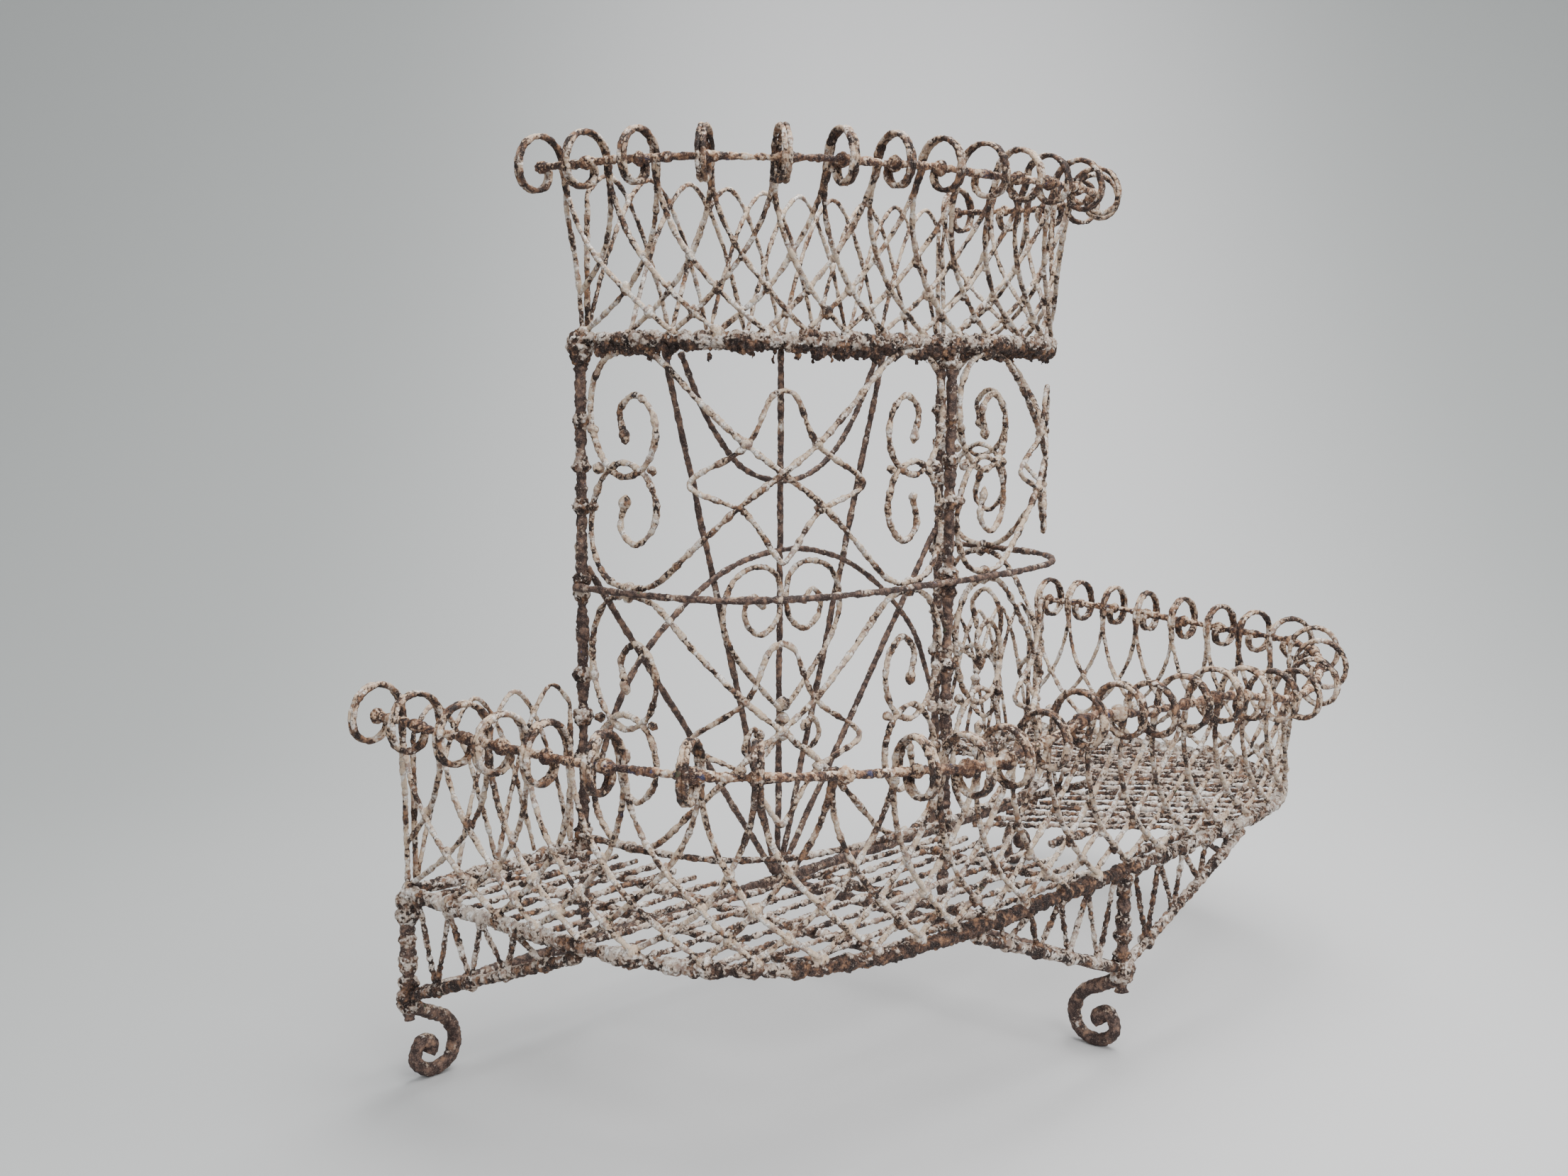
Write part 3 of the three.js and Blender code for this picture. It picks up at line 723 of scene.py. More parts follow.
@dataclass
class Sizes:
    """The stand's main sizes, read from its CAD nodes."""

    half_width: float
    depth: float
    tower_half_width: float
    tower_depth: float
    middle: float
    wall: float
    base_z: float
    floor_z: float
    ring_z: float
    shelf_z: float
    lower_rail_z: float
    upper_rail_z: float
    squareness: float = 4.8
    tower_squareness: float = 3.4
    rim_radius: float = 6.5 * MM
    post_radius: float = 5.6 * MM
    wire_radius: float = 2.6 * MM

    @classmethod
    def from_frame(cls) -> "Sizes":
        """Reads the sizes from the boxes of the rims, bars and rails."""

        def middle(node: str, axis: int) -> float:
            low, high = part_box(node)
            return (low[axis] + high[axis]) / 2

        rim = cls.rim_radius
        wall = middle("base_wall_bar", 1)
        floor_low, floor_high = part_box("floor_rim")
        shelf_low, shelf_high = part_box("shelf_rim")
        return cls(
            half_width=(floor_high.x - floor_low.x) / 2 - rim,
            depth=wall - floor_low.y - rim * 0.95,
            tower_half_width=(shelf_high.x - shelf_low.x) / 2 - rim,
            tower_depth=wall - shelf_low.y - rim * 0.95,
            middle=middle("floor_rim", 0),
            wall=wall,
            base_z=middle("base_wall_bar", 2),
            floor_z=middle("floor_rim", 2),
            ring_z=middle("tower_middle_ring", 2),
            shelf_z=middle("shelf_rim", 2),
            lower_rail_z=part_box("lower_rail")[1].z - 7.5 * MM,
            upper_rail_z=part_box("upper_rail")[1].z - 7.5 * MM,
        )

    def floor_plan(self, height: float, grown: float = 0.0) -> DPlan:
        """The lower D at a height, grown outwards by a distance."""
        return DPlan(self.half_width + grown, self.depth + grown, self.squareness, height, self.wall)

    def tower_plan(self, height: float, grown: float = 0.0) -> DPlan:
        """The tower's D at a height, grown outwards by a distance."""
        width, depth = self.tower_half_width + grown, self.tower_depth + grown
        return DPlan(width, depth, self.tower_squareness, height, self.wall)


@dataclass
class Basket:
    """A D-shaped basket of crossed hairpins that end in curls over a rail.

    Attributes:
        label: "lower" or "upper".
        plan: The rim's line.
        height: From the rim to the rail.
        flare: How far the rail stands outside the rim: at the left wall end, at the front, at the
            right wall end, and how much less it is near the right corner.
        count: How many hairpins there are.
        droops: How far the rail sags, at which share of its length, and over what spread.
        missing: Hairpins whose curl has broken off.
        nudges: How many millimetres each curl stands off its even place along the rail.
    """

    label: str
    plan: DPlan
    height: float
    flare: tuple[float, float, float, float]
    count: int
    droops: tuple[tuple[float, float, float], ...] = ()
    missing: tuple[int, ...] = ()
    nudges: tuple[float, ...] = ()
    curl_radius: float = 26.5 * MM
    wire_radius: float = 2.55 * MM
    rail_radius: float = 3.6 * MM
    knob_radius: float = 7.5 * MM
    ends: float = 9.0 * MM

    # How many hairpins a leg passes on its way down, and how a leg bows out on its way up.
    SPREAD: ClassVar[float] = 2.0
    BOW: ClassVar[float] = 2.3
    LEG_STEPS: ClassVar[int] = 15
    CURL_STEPS: ClassVar[int] = 26
    CURL_TURN: ClassVar[float] = 1.94 * math.pi

    def __post_init__(self) -> None:
        """Measures the rail, along which the hairpins are spaced."""
        self._shares = np.linspace(0.0, 1.0, 1601)
        line = np.array([self.rail_at(share) for share in self._shares])
        steps = np.linalg.norm(np.diff(line, axis=0), axis=1)
        self._runs = np.concatenate([[0.0], np.cumsum(steps)])
        pitch = (self._runs[-1] - 2 * self.ends) / (self.count - 1)
        off = np.zeros(self.count)
        off[: len(self.nudges)] = np.array(self.nudges) * MM
        # Curl -1 and curl `count` are where an even pitch would put the next ones.
        self._numbers = np.arange(-1, self.count + 1)
        self._places = self.ends + self._numbers * pitch + np.concatenate([[0.0], off, [0.0]])

    def share(self, number: float) -> float:
        """Where a curl is, or a place between two curls, as a share of the rim."""
        run = float(np.interp(number, self._numbers, self._places))
        return float(np.interp(run, self._runs, self._shares))

    def number_at(self, share: float) -> float:
        """The curl, or the place between two curls, at a share of the rim."""
        run = float(np.interp(share, self._shares, self._runs))
        return float(np.interp(run, self._places, self._numbers))

    def flare_at(self, share: float) -> float:
        """How far the rail stands outside the rim."""
        left, front, right, dent = self.flare
        end = left if share < 0.5 else right
        bulge = end + (front - end) * math.sin(math.pi * share)
        return bulge - dent * math.exp(-(((share - 0.82) / 0.1) ** 2))

    def drop(self, share: float) -> float:
        """How far the rail has sagged."""
        return sum(
            depth * math.exp(-(((share - place) / spread) ** 2))
            for depth, place, spread in self.droops
        )

    def rail_at(self, share: float) -> Vector:
        """The middle of the rail."""
        return self.plan.place(share, self.flare_at(share), self.height - self.drop(share))

    def level_at(self, apart: float) -> float:
        """How high a leg is, from 0 to 1, where it is some hairpins away from its own curl."""
        return 1 - (apart / self.SPREAD) ** (1 / self.BOW)

    def wall_at(self, share: float, level: float, layer: float = 0.0) -> Vector:
        """A point of the woven wall.

        Args:
            share: Along the rim.
            level: 0 at the foot and 1 level with the rail.
            layer: How far outside the middle of the weave.

        Returns:
            The point.
        """
        top = self.height - self.drop(share)
        out = (self.flare_at(share) - self.curl_radius) * max(level, 0.0) ** 1.4
        return self.plan.place(share, out + layer, WALL_FOOT + (top - WALL_FOOT) * level)

    def half_hairpin(self, number: int, way: int) -> list[Vector]:
        """One wire of a hairpin, from its foot up the wall and round the curl to the rail.

        Args:
            number: Which hairpin.
            way: -1 for the leg that leans left, 1 for the one that leans right.

        Returns:
            Points of the wire.
        """
        share = self.share(number)
        last = self.count - 1
        vertical = (number == 0 and way < 0) or (number == last and way > 0)
        limit = number - self.number_at(0.0) if way < 0 else self.number_at(1.0) - number
        reach = self.SPREAD if vertical else min(self.SPREAD, limit)
        leg: list[Vector] = []
        for step in range(self.LEG_STEPS):
            apart = reach * (1 - step / self.LEG_STEPS) ** 1.6
            lean = min(apart, limit) if vertical else apart
            layer = way * self.wire_radius * min(1.0, apart / 0.3)
            leg.append(self.wall_at(self.share(number + way * lean), self.level_at(apart), layer))
        side = self.plan.along(share, 0.001).normalized()
        beside = side * (way * self.wire_radius * 0.93)
        if number in self.missing:
            return [*leg, self.wall_at(share, 1.0) + beside]
        return [*leg, *(p + beside for p in self.curl(share))]

    def curl(self, share: float) -> list[Vector]:
        """The line of a curl: up over the rail, outwards and down, and back up to the rail's knob."""
        centre = self.rail_at(share)
        out = self.plan.outward(share)
        wild = noise.noise_vector(centre * 9.0)
        radius = self.curl_radius * (1 + 0.10 * wild.x)
        tilt = self.plan.along(share).normalized() * (0.16 * wild.y)
        points = []
        for step in range(self.CURL_STEPS + 1):
            done = step / self.CURL_STEPS
            angle = math.pi - self.CURL_TURN * done
            closing = max(0.0, done - 0.60) / 0.40
            reach = radius + (self.knob_radius - radius) * closing**1.3
            crest = radius * 0.06 * math.sin(math.pi * min(1.0, done * 2))
            rise = reach * math.sin(angle) + crest
            points.append(centre + (out + tilt) * (reach * math.cos(angle)) + UP * rise)
        return points

    def hairpins(self, name: str, numbers: Iterable[int], node: str) -> None:
        """Makes neighbouring hairpins with the bindings where their legs cross.

        Args:
            name: The piece's name.
            numbers: The hairpins in the piece.
            node: The CAD node that it stands for.
        """
        work = WireWork(name, CURL_PAINT)
        for number in numbers:
            for way in (-1, 1):
                work.wire(self.half_hairpin(number, way), self.wire_radius, worn=self._wear)
            share = self.share(number)
            for cross in (0.5, 1.0, 1.5):
                if number + cross > self.count - 1.2:
                    continue
                centre = self.wall_at(self.share(number + cross), self.level_at(cross))
                size = 4.2 * MM + 1.4 * MM * noise.noise(centre * 70.0) + 0.8 * MM * (cross - 0.5)
                work.lump(centre, UP, 2.6 * size, size)
            foot = self.wall_at(share, 0.0)
            along = self.plan.along(share)
            size = 6.2 * MM + 2.0 * MM * noise.noise(foot * 60.0)
            work.lump(foot - UP * 2.0 * MM, along, 2.2 * size, size)
        work.make(node)

    @staticmethod
    def _wear(share: float) -> float:
        """How worn a hairpin's paint is: little at its foot, much on its curl."""
        return min(1.0, max(0.0, (share - 0.3) / 0.3))

    def rail(self, finish: WeatheredPaint) -> None:
        """Makes the rail with a knob of wire ends at each curl."""
        name = self.label + "_basket_rail"
        work = WireWork(name, finish, crust=0.9 * MM, sway=1.2 * MM, melt=1.1 * MM)
        count = 8 * self.count
        line = [self.rail_at(i / count) for i in range(count + 1)]
        work.wire(line, self.rail_radius, Section.ROD, lumpy=0.26)
        for number in range(self.count):
            share = self.share(number)
            centre = self.rail_at(share)
            along = self.plan.along(share)
            size = 6.8 * MM + 1.6 * MM * noise.noise(centre * 50.0)
            work.lump(centre, along, 2.1 * size, size)
            work.lump(centre + along.normalized() * 8.0 * MM, along, 11.0 * MM, 4.8 * MM)
        work.make(self.label + "_rail")

    def build(self) -> None:
        """Makes the whole basket, one piece to each pair of hairpins."""
        self.rail(RAIL_RUST)
        for first in range(0, self.count, 2):
            number = f"{first // 2 + 1:02d}"
            self.hairpins(
                f"{self.label}_curled_wires_{number}",
                (first, first + 1),
                f"{self.label}_hairpins_{number}",
            )


@dataclass
class WallLattice:
    """The plain hairpins of a basket's wall side, with round tops and no curls."""

    name: str
    node: str
    left: float
    right: float
    wall: float
    foot: float
    top: float
    count: int
    radius: float = 2.3 * MM

    # How many hairpins a leg passes on its way down, and how round the tops are.
    SPREAD: ClassVar[float] = 1.5
    ROUNDNESS: ClassVar[float] = 1.8

    def build(self) -> None:
        """Makes the lattice."""
        work = WireWork(self.name, CURL_PAINT)
        pitch = (self.right - self.left) / self.count
        for number in range(self.count):
            middle = self.left + (number + 0.5) * pitch
            work.wire(self._hairpin(middle, pitch), self.radius)
            for cross in (0.5, 1.0):
                x = middle + cross * pitch
                if x < self.right:
                    centre = Vector((x, self.wall, self._height(cross)))
                    work.lump(centre, UP, 10.0 * MM, 3.8 * MM)
        for x in (self.left, self.right):
            line = [Vector((x, self.wall, z)) for z in (self.foot, self.top - 40.0 * MM)]
            work.wire(line, self.radius)
        work.make(self.node)

    def _height(self, apart: float) -> float:
        """How high a hairpin is at some hairpins from its middle."""
        return self.foot + (self.top - self.foot) * (1 - (apart / self.SPREAD) ** self.ROUNDNESS)

    def _hairpin(self, middle: float, pitch: float) -> list[Vector]:
        """One bent wire from foot to foot over its round top."""
        points = []
        for step in range(-12, 13):
            apart = self.SPREAD * step / 12
            x = min(max(middle + apart * pitch, self.left), self.right)
            layer = 1.5 * MM * math.copysign(min(abs(apart), 0.3) / 0.3, apart)
            points.append(Vector((x, self.wall + layer, self._height(abs(apart)))))
        return points


@dataclass
class Legs:
    """The three S-scroll legs, with the bars that join them and the laced braces above."""

    sizes: Sizes
    radius: float = 7.0 * MM
    bar_radius: float = 6.0 * MM
    end_brace: float = 0.236
    front_brace: float = 0.250

    # The scroll's line in millimetres inwards and up.
    SCROLL: ClassVar[Shape] = (
        (0, 76), (22, 64), (43, 52), (53, 31), (45, 11),
        (22, 6), (6, 19), (13, 36), (25, 30), (21, 22.5),
    )  # fmt: skip

    def build(self) -> None:
        """Makes the legs, bars and braces."""
        s = self.sizes
        side = s.half_width - 1.0 * MM
        left = Vector((-side, s.wall, 0.0))
        right = Vector((side, s.wall, 0.0))
        front = Vector((0.0, s.wall - s.depth, 0.0))
        for name, foot, inward in (
            ("leg_left", left, Vector((1, 0, 0))),
            ("leg_right", right, Vector((-1, 0, 0))),
            ("leg_front", front, Vector((0, 1, 0))),
        ):
            self._leg(name, foot, inward)
        self._bar("base_wall_bar", left, right)
        self._bar("base_stem_bar", Vector((0.0, s.wall - 7 * MM, 0.0)), front)
        plan = s.floor_plan(s.floor_z)
        end = self.end_brace / plan.length
        middle = self.front_brace / plan.length
        self._apron("apron_left_end", plan, 0.004, end)
        self._apron("apron_front_left", plan, 0.5 - 0.004, 0.5 - middle)
        self._apron("apron_front_right", plan, 0.5 + 0.004, 0.5 + middle)
        self._apron("apron_right_end", plan, 1 - 0.004, 1 - end)

    def _leg(self, name: str, foot: Vector, inward: Vector) -> None:
        """Makes one leg with its upright and the binding at its ankle."""
        work = WireWork(name + "_scroll", BARE_IRON, crust=0.8 * MM, sway=0.3 * MM, step=1.6 * MM)
        path = [foot + inward * (across * MM) + UP * (up * MM) for across, up in self.SCROLL]

        def taper(share: float) -> float:
            if share < 0.86:
                return 1.0 - 0.12 * share
            return 0.9 + 0.25 * math.sin((share - 0.86) / 0.14 * math.pi)

        work.wire(path, self.radius, Section.ROD, taper, lumpy=0.08)
        low, high = 62.0 * MM, self.sizes.floor_z - 4.0 * MM
        upright = [foot + UP * low, foot + UP * high]
        work.wire(upright, self.radius * 0.95, Section.ROD, lumpy=0.22)
        work.make(name)
        collar = WireWork(name + "_collar", THICK_CRUST, crust=1.5 * MM, melt=1.1 * MM)
        for up, size, along in ((86, 12.5, inward), (78, 10.5, UP), (98, 9.5, UP)):
            collar.lump(foot + UP * (up * MM), along, 2.1 * size * MM, size * MM)
        for up in (118, 140, 162, 178):
            size = 8.5 + 2.0 * noise.noise(Vector((foot.x * 9, foot.y * 9, up * 0.1)))
            collar.lump(foot + UP * (up * MM), UP, 2.4 * size * MM, size * MM)
        collar.make()

    def _bar(self, name: str, start: Vector, end: Vector) -> None:
        """Makes one of the rods near the ground."""
        work = WireWork(name + "_rod", BARE_IRON, crust=0.9 * MM)
        lift = UP * self.sizes.base_z
        inset = (end - start).normalized() * (6.0 * MM)
        work.wire([start + lift + inset, end + lift - inset], self.bar_radius, Section.ROD, lumpy=0.12)
        work.make(name)

    def _apron(self, name: str, plan: DPlan, start: float, end: float) -> None:
        """Makes a brace from a leg's top out to the rim, with its zigzag lacing."""
        work = WireWork(name + "_lacing", THICK_CRUST, crust=1.1 * MM, melt=1.1 * MM)
        low = self.sizes.base_z + 4.0 * MM
        high = self.sizes.floor_z - 9.0 * MM

        def brace(share: float) -> Vector:
            place = plan.at(start + (end - start) * share)
            return Vector((place.x, place.y, low + (high - low) * share))

        def rim(share: float) -> Vector:
            place = plan.at(start + (end - start) * share)
            return Vector((place.x, place.y, self.sizes.floor_z - 5.0 * MM))

        work.wire([brace(i / 8) for i in range(9)], self.bar_radius * 0.85, Section.ROD)
        steps = 4
        for i in range(steps):
            bottom = brace((i + 0.75) / (steps + 0.6))
            work.wire([rim((i + 0.25) / (steps + 1)), bottom], 2.5 * MM)
            work.wire([bottom, rim((i + 1.25) / (steps + 1))], 2.5 * MM)
            work.lump(bottom, brace(1.0) - brace(0.0), 16.0 * MM, 6.8 * MM)
            top = rim((i + 0.25) / (steps + 1))
            work.lump(top, UP, 13.0 * MM, 6.0 * MM)
        work.make(name)


@dataclass
class LowerFloor:
    """The lower basket's rim and the wires of its floor."""

    sizes: Sizes

    def build(self) -> None:
        """Makes the rim and both halves of the floor."""
        s = self.sizes
        plan = s.floor_plan(s.floor_z)
        rim = WireWork("floor_rim_rod", THICK_CRUST, crust=1.6 * MM, sway=0.8 * MM, melt=1.25 * MM)
        line = [plan.at(i / 120) for i in range(121)]
        rim.wire(line, s.rim_radius, Section.ROD, lumpy=0.28, worn=self._bare_front)
        for side in (-1, 1):
            end = Vector((side * s.half_width, s.wall, s.floor_z))
            post = Vector((side * (s.tower_half_width + 7.0 * MM), s.wall, s.floor_z))
            rim.wire([end, post], s.rim_radius, Section.ROD, lumpy=0.25)
        rim.make("floor_rim")
        self._left(plan)
        self._right(plan)

    @staticmethod
    def _bare_front(share: float) -> float:
        """How worn the rim's paint is: most along the front, left of the middle."""
        return 0.2 + 1.0 * math.exp(-(((share - 0.38) / 0.13) ** 2))

    def _left(self, plan: DPlan) -> None:
        """Makes the left half: wires along the wall on bearers from back to front."""
        s = self.sizes
        work = WireWork("floor_wires_left", THICK_CRUST, crust=1.2 * MM, sway=1.4 * MM, step=1.8 * MM)
        clear = 4.0 * MM
        y = -FLOOR_PITCH
        while y > -s.depth + 10.0 * MM:
            outer = -plan.width_at(y) + clear
            beside_tower = abs(y) < s.tower_depth + clear
            inner = -s.tower_half_width - clear if beside_tower else -clear - 8.0 * MM
            fan = 0.05 * (outer - inner) * noise.noise(Vector((0.3, y * 9.0, 0.0)))
            start = Vector((outer, s.wall + y + fan, s.floor_z))
            end = Vector((inner, s.wall + y - fan, s.floor_z))
            work.wire([start, (start + end) / 2, end], s.wire_radius, lumpy=0.3)
            y -= FLOOR_PITCH
        for share, front_only in ((0.8, False), (0.66, False), (0.4, True), (0.12, True)):
            x = -s.half_width * share
            back = s.tower_depth + 6.0 * MM if front_only else 8.0 * MM
            low = s.floor_z - BEARER_DROP
            start = Vector((x, s.wall - back, low))
            end = Vector((x, s.wall - plan.depth_at(x) + 6.0 * MM, low))
            work.wire([start, (start + end) / 2, end], BEARER_RADIUS, lumpy=0.3)
        work.make("floor_grid_left")

    def _right(self, plan: DPlan) -> None:
        """Makes the right half: slanted wires from the wall and the tower to the rim."""
        s = self.sizes
        work = WireWork("floor_wires_right", THICK_CRUST, crust=1.2 * MM, sway=1.4 * MM, step=1.8 * MM)
        way = Vector((0.62, -0.785, 0.0)).normalized()
        tower = s.tower_half_width + 9.0 * MM
        starts: list[Vector] = []
        x = tower + FLOOR_PITCH * 6.2
        while x > tower:
            starts.append(Vector((x, s.wall - 10.0 * MM, s.floor_z)))
            x -= FLOOR_PITCH * 1.15
        y = -FLOOR_PITCH
        while y > -s.tower_depth:
            starts.append(Vector((tower, s.wall + y, s.floor_z)))
            y -= FLOOR_PITCH * 1.2
        x = s.tower_half_width
        while x > 40.0 * MM:
            starts.append(Vector((x, s.wall - s.tower_depth - 9.0 * MM, s.floor_z)))
            x -= FLOOR_PITCH * 1.2
        for start in starts:
            end = self._leave(plan, start, way)
            work.wire([start, (start + end) / 2, end], s.wire_radius, lumpy=0.3)
        for inset in (32.0 * MM, 112.0 * MM):
            inner = s.floor_plan(s.floor_z - BEARER_DROP, -inset)
            line = [inner.at(0.53 + 0.458 * i / 40) for i in range(41)]
            work.wire(line, BEARER_RADIUS, lumpy=0.3)
        work.make("floor_grid_right")

    @staticmethod
    def _leave(plan: DPlan, start: Vector, way: Vector) -> Vector:
        """Where a line leaves the D.

        Args:
            plan: The D.
            start: A point inside it.
            way: The line's direction.

        Returns:
            The last point inside it, just short of the rim.
        """
        clear = 5.0 * MM
        far = 0.0
        while far < 0.9:
            x = abs(start.x + way.x * far) / (plan.half_width - clear)
            y = abs(start.y + way.y * far - plan.wall) / (plan.depth - clear)
            if x**plan.squareness + y**plan.squareness >= 1:
                break
            far += 1.0 * MM
        return start + way * far


@dataclass
class StarPanel:
    """A pierced panel of bent wire: four long scrolled wires and a star in the middle."""

    name: str
    node: str
    plan: DPlan
    left: bool
    bottom: float
    top: float
    edge: float
    radius: float = 3.1 * MM

    HALF_WIRE: ClassVar[Shape] = (
        (0, 0), (-0.17, 0.24), (-0.37, 0.58), (-0.6, 0.95), (-0.74, 1), (-0.88, 0.93), (-0.97, 0.66),
        (-0.965, 0.33), (-0.89, 0.06), (-0.77, -0.06), (-0.64, 0.05), (-0.585, 0.3), (-0.61, 0.5),
        (-0.7, 0.63), (-0.79, 0.5), (-0.765, 0.28),
    )  # fmt: skip
    HALF_STAR: ClassVar[Shape] = (
        (0, 0.68), (-0.05, 0.64), (-0.16, 0.24), (-0.4, -0.05), (-0.42, -0.11), (-0.39, -0.16),
        (-0.17, -0.33), (-0.04, -0.66), (0, -0.74),
    )  # fmt: skip

    def place(self, across: float, up: float) -> Vector:
        """A point of the panel, from -1 to 1 across and up."""
        share = 0.25 + across * (0.5 - 2 * self.edge) / 2 + (0.0 if self.left else 0.5)
        point = self.plan.at(share)
        return Vector((point.x, point.y, self.bottom + (self.top - self.bottom) / 2 * (1 + up)))

    def build(self) -> None:
        """Makes the panel."""
        work = WireWork(self.name, CURL_PAINT, crust=0.8 * MM)
        for fx in (1, -1):
            for fy in (1, -1):
                line = [self.place(x * fx, y * fy) for x, y in self.HALF_WIRE]
                work.wire(line, self.radius, lumpy=0.24)
                self._leaf(work, line)
        star = [self.place(x, y) for x, y in self.HALF_STAR]
        other = [self.place(-x, y) for x, y in reversed(self.HALF_STAR[:-1])]
        work.wire([*star, *other], self.radius * 0.9, lumpy=0.24)
        for x, y, size in (
            (0, 0, 4.2), (0.165, 0.24, 5.2), (-0.165, 0.24, 5.2), (0.18, -0.3, 5.2), (-0.18, -0.3, 5.2),
            (0.965, 0.33, 5.5), (-0.965, 0.33, 5.5), (0.965, -0.33, 5.5), (-0.965, -0.33, 5.5),
            (0.93, 0, 5.8), (-0.93, 0, 5.8), (0.605, 0, 4.8), (-0.605, 0, 4.8),
            (0.74, 1, 6.5), (-0.74, 1, 6.5), (0.74, -1, 6.0), (-0.74, -1, 6.0),
        ):  # fmt: skip
            centre = self.place(x, y)
            work.lump(centre, noise.noise_vector(centre * 40.0), 2.2 * size * MM, size * MM)
        work.make(self.node)

    def _leaf(self, work: WireWork, line: list[Vector]) -> None:
        """Adds the flattened tip at the end of a scroll."""
        way = line[-1] - line[-2]
        work.lump(line[-1], way, 16.0 * MM, 4.8 * MM)


@dataclass
class Tower:
    """The posts, hoops, panels and shelf between the two baskets."""

    sizes: Sizes
    ring_radius: float = 3.5 * MM
    drips: int = 300
    crumbs: int = 46

    def build(self) -> None:
        """Makes every piece of the tower but the fan."""
        self._posts()
        self._hoops()
        self._shelf()
        s = self.sizes
        plan = s.tower_plan(0.0)
        edge = 9.8 * MM / plan.length
        gap = 3.8 * MM
        lower = (s.floor_z + s.rim_radius + gap, s.ring_z - gap)
        upper = (s.ring_z + gap, s.shelf_z - s.rim_radius - gap)
        for label, (bottom, top) in (("lower", lower), ("upper", upper)):
            for side in ("left", "right"):
                panel = StarPanel(
                    f"star_wirework_{label}_{side}",
                    f"star_panel_{label}_{side}",
                    plan,
                    side == "left",
                    bottom,
                    top,
                    edge,
                )
                panel.build()

    def _posts(self) -> None:
        """Makes the three uprights, with the bindings that hold panels and hoops to them."""
        s = self.sizes
        for name, x, y in (
            ("post_left", -s.tower_half_width, s.wall),
            ("post_right", s.tower_half_width, s.wall),
            ("post_front", 0.0, s.wall - s.tower_depth),
        ):
            work = WireWork(name + "_rod", BARE_IRON, crust=0.9 * MM, sway=0.6 * MM, step=1.6 * MM)
            foot, head = Vector((x, y, s.base_z + 4.0 * MM)), Vector((x, y, s.shelf_z - 2.0 * MM))
            work.wire([foot, head], s.post_radius, Section.ROD, lumpy=0.22)
            work.make(name)
            ties = WireWork(name + "_ties", THICK_CRUST, crust=1.5 * MM, melt=1.1 * MM)
            mid_low = (s.floor_z + s.ring_z) / 2
            mid_high = (s.ring_z + s.shelf_z) / 2
            for z, size in (
                (s.floor_z, 11.0), (s.floor_z + 16 * MM, 9.0), (mid_low - 44 * MM, 9.0), (mid_low, 9.5),
                (mid_low + 44 * MM, 9.0), (s.ring_z - 9 * MM, 9.5), (s.ring_z + 6 * MM, 9.5),
                (mid_high - 42 * MM, 9.0), (mid_high, 9.0), (mid_high + 42 * MM, 9.0),
                (s.shelf_z - 18 * MM, 10.0), (s.shelf_z - 4 * MM, 12.0),
            ):  # fmt: skip
                ties.lump(Vector((x, y, z)), UP, 2.3 * size * MM, size * MM)
            ties.make()

    def _hoops(self) -> None:
        """Makes the bowed rails that pass outside the posts."""
        s = self.sizes
        outside = s.post_radius + self.ring_radius
        for name, node, height, finish in (
            ("tower_middle_hoop", "tower_middle_ring", s.ring_z, BARE_IRON),
            ("tower_foot_hoop", "tower_foot_rail", s.floor_z + 13.0 * MM, THICK_CRUST),
        ):
            plan = s.tower_plan(height, outside)
            work = WireWork(name, finish, crust=0.6 * MM, sway=0.8 * MM)
            work.wire([plan.at(i / 80) for i in range(81)], self.ring_radius, lumpy=0.2)
            work.make(node)

    def _shelf(self) -> None:
        """Makes the shelf's rim and wires, and the paint that hangs under its front."""
        s = self.sizes
        plan = s.tower_plan(s.shelf_z)
        rim = WireWork("shelf_rim_rod", THICK_CRUST, crust=1.6 * MM, melt=1.2 * MM)
        line = [plan.at(i / 100) for i in range(101)]
        rim.wire(line, s.rim_radius * 1.15, Section.ROD, lumpy=0.34, worn=lambda _: 0.35)
        ends = [Vector((side * s.tower_half_width, s.wall, s.shelf_z)) for side in (-1, 1)]
        rim.wire(ends, s.rim_radius, Section.ROD, lumpy=0.22)
        rim.make("shelf_rim")
        wires = WireWork("shelf_wires", THICK_CRUST, crust=1.1 * MM, sway=1.2 * MM)
        y = -FLOOR_PITCH
        while y > -s.tower_depth + 9.0 * MM:
            reach = plan.width_at(y) - 5.0 * MM
            row = [Vector((x * reach, s.wall + y, s.shelf_z)) for x in (-1, 0, 1)]
            wires.wire(row, s.wire_radius, lumpy=0.3)
            y -= FLOOR_PITCH
        for share in (-0.5, 0.0, 0.5):
            x, z = share * s.tower_half_width, s.shelf_z - BEARER_DROP
            back = Vector((x, s.wall - 8.0 * MM, z))
            front = Vector((x, s.wall - s.tower_depth + 12.0 * MM, z))
            wires.wire([back, (back + front) / 2, front], BEARER_RADIUS, lumpy=0.3)
        wires.make("shelf_grid")
        self._drips(plan)

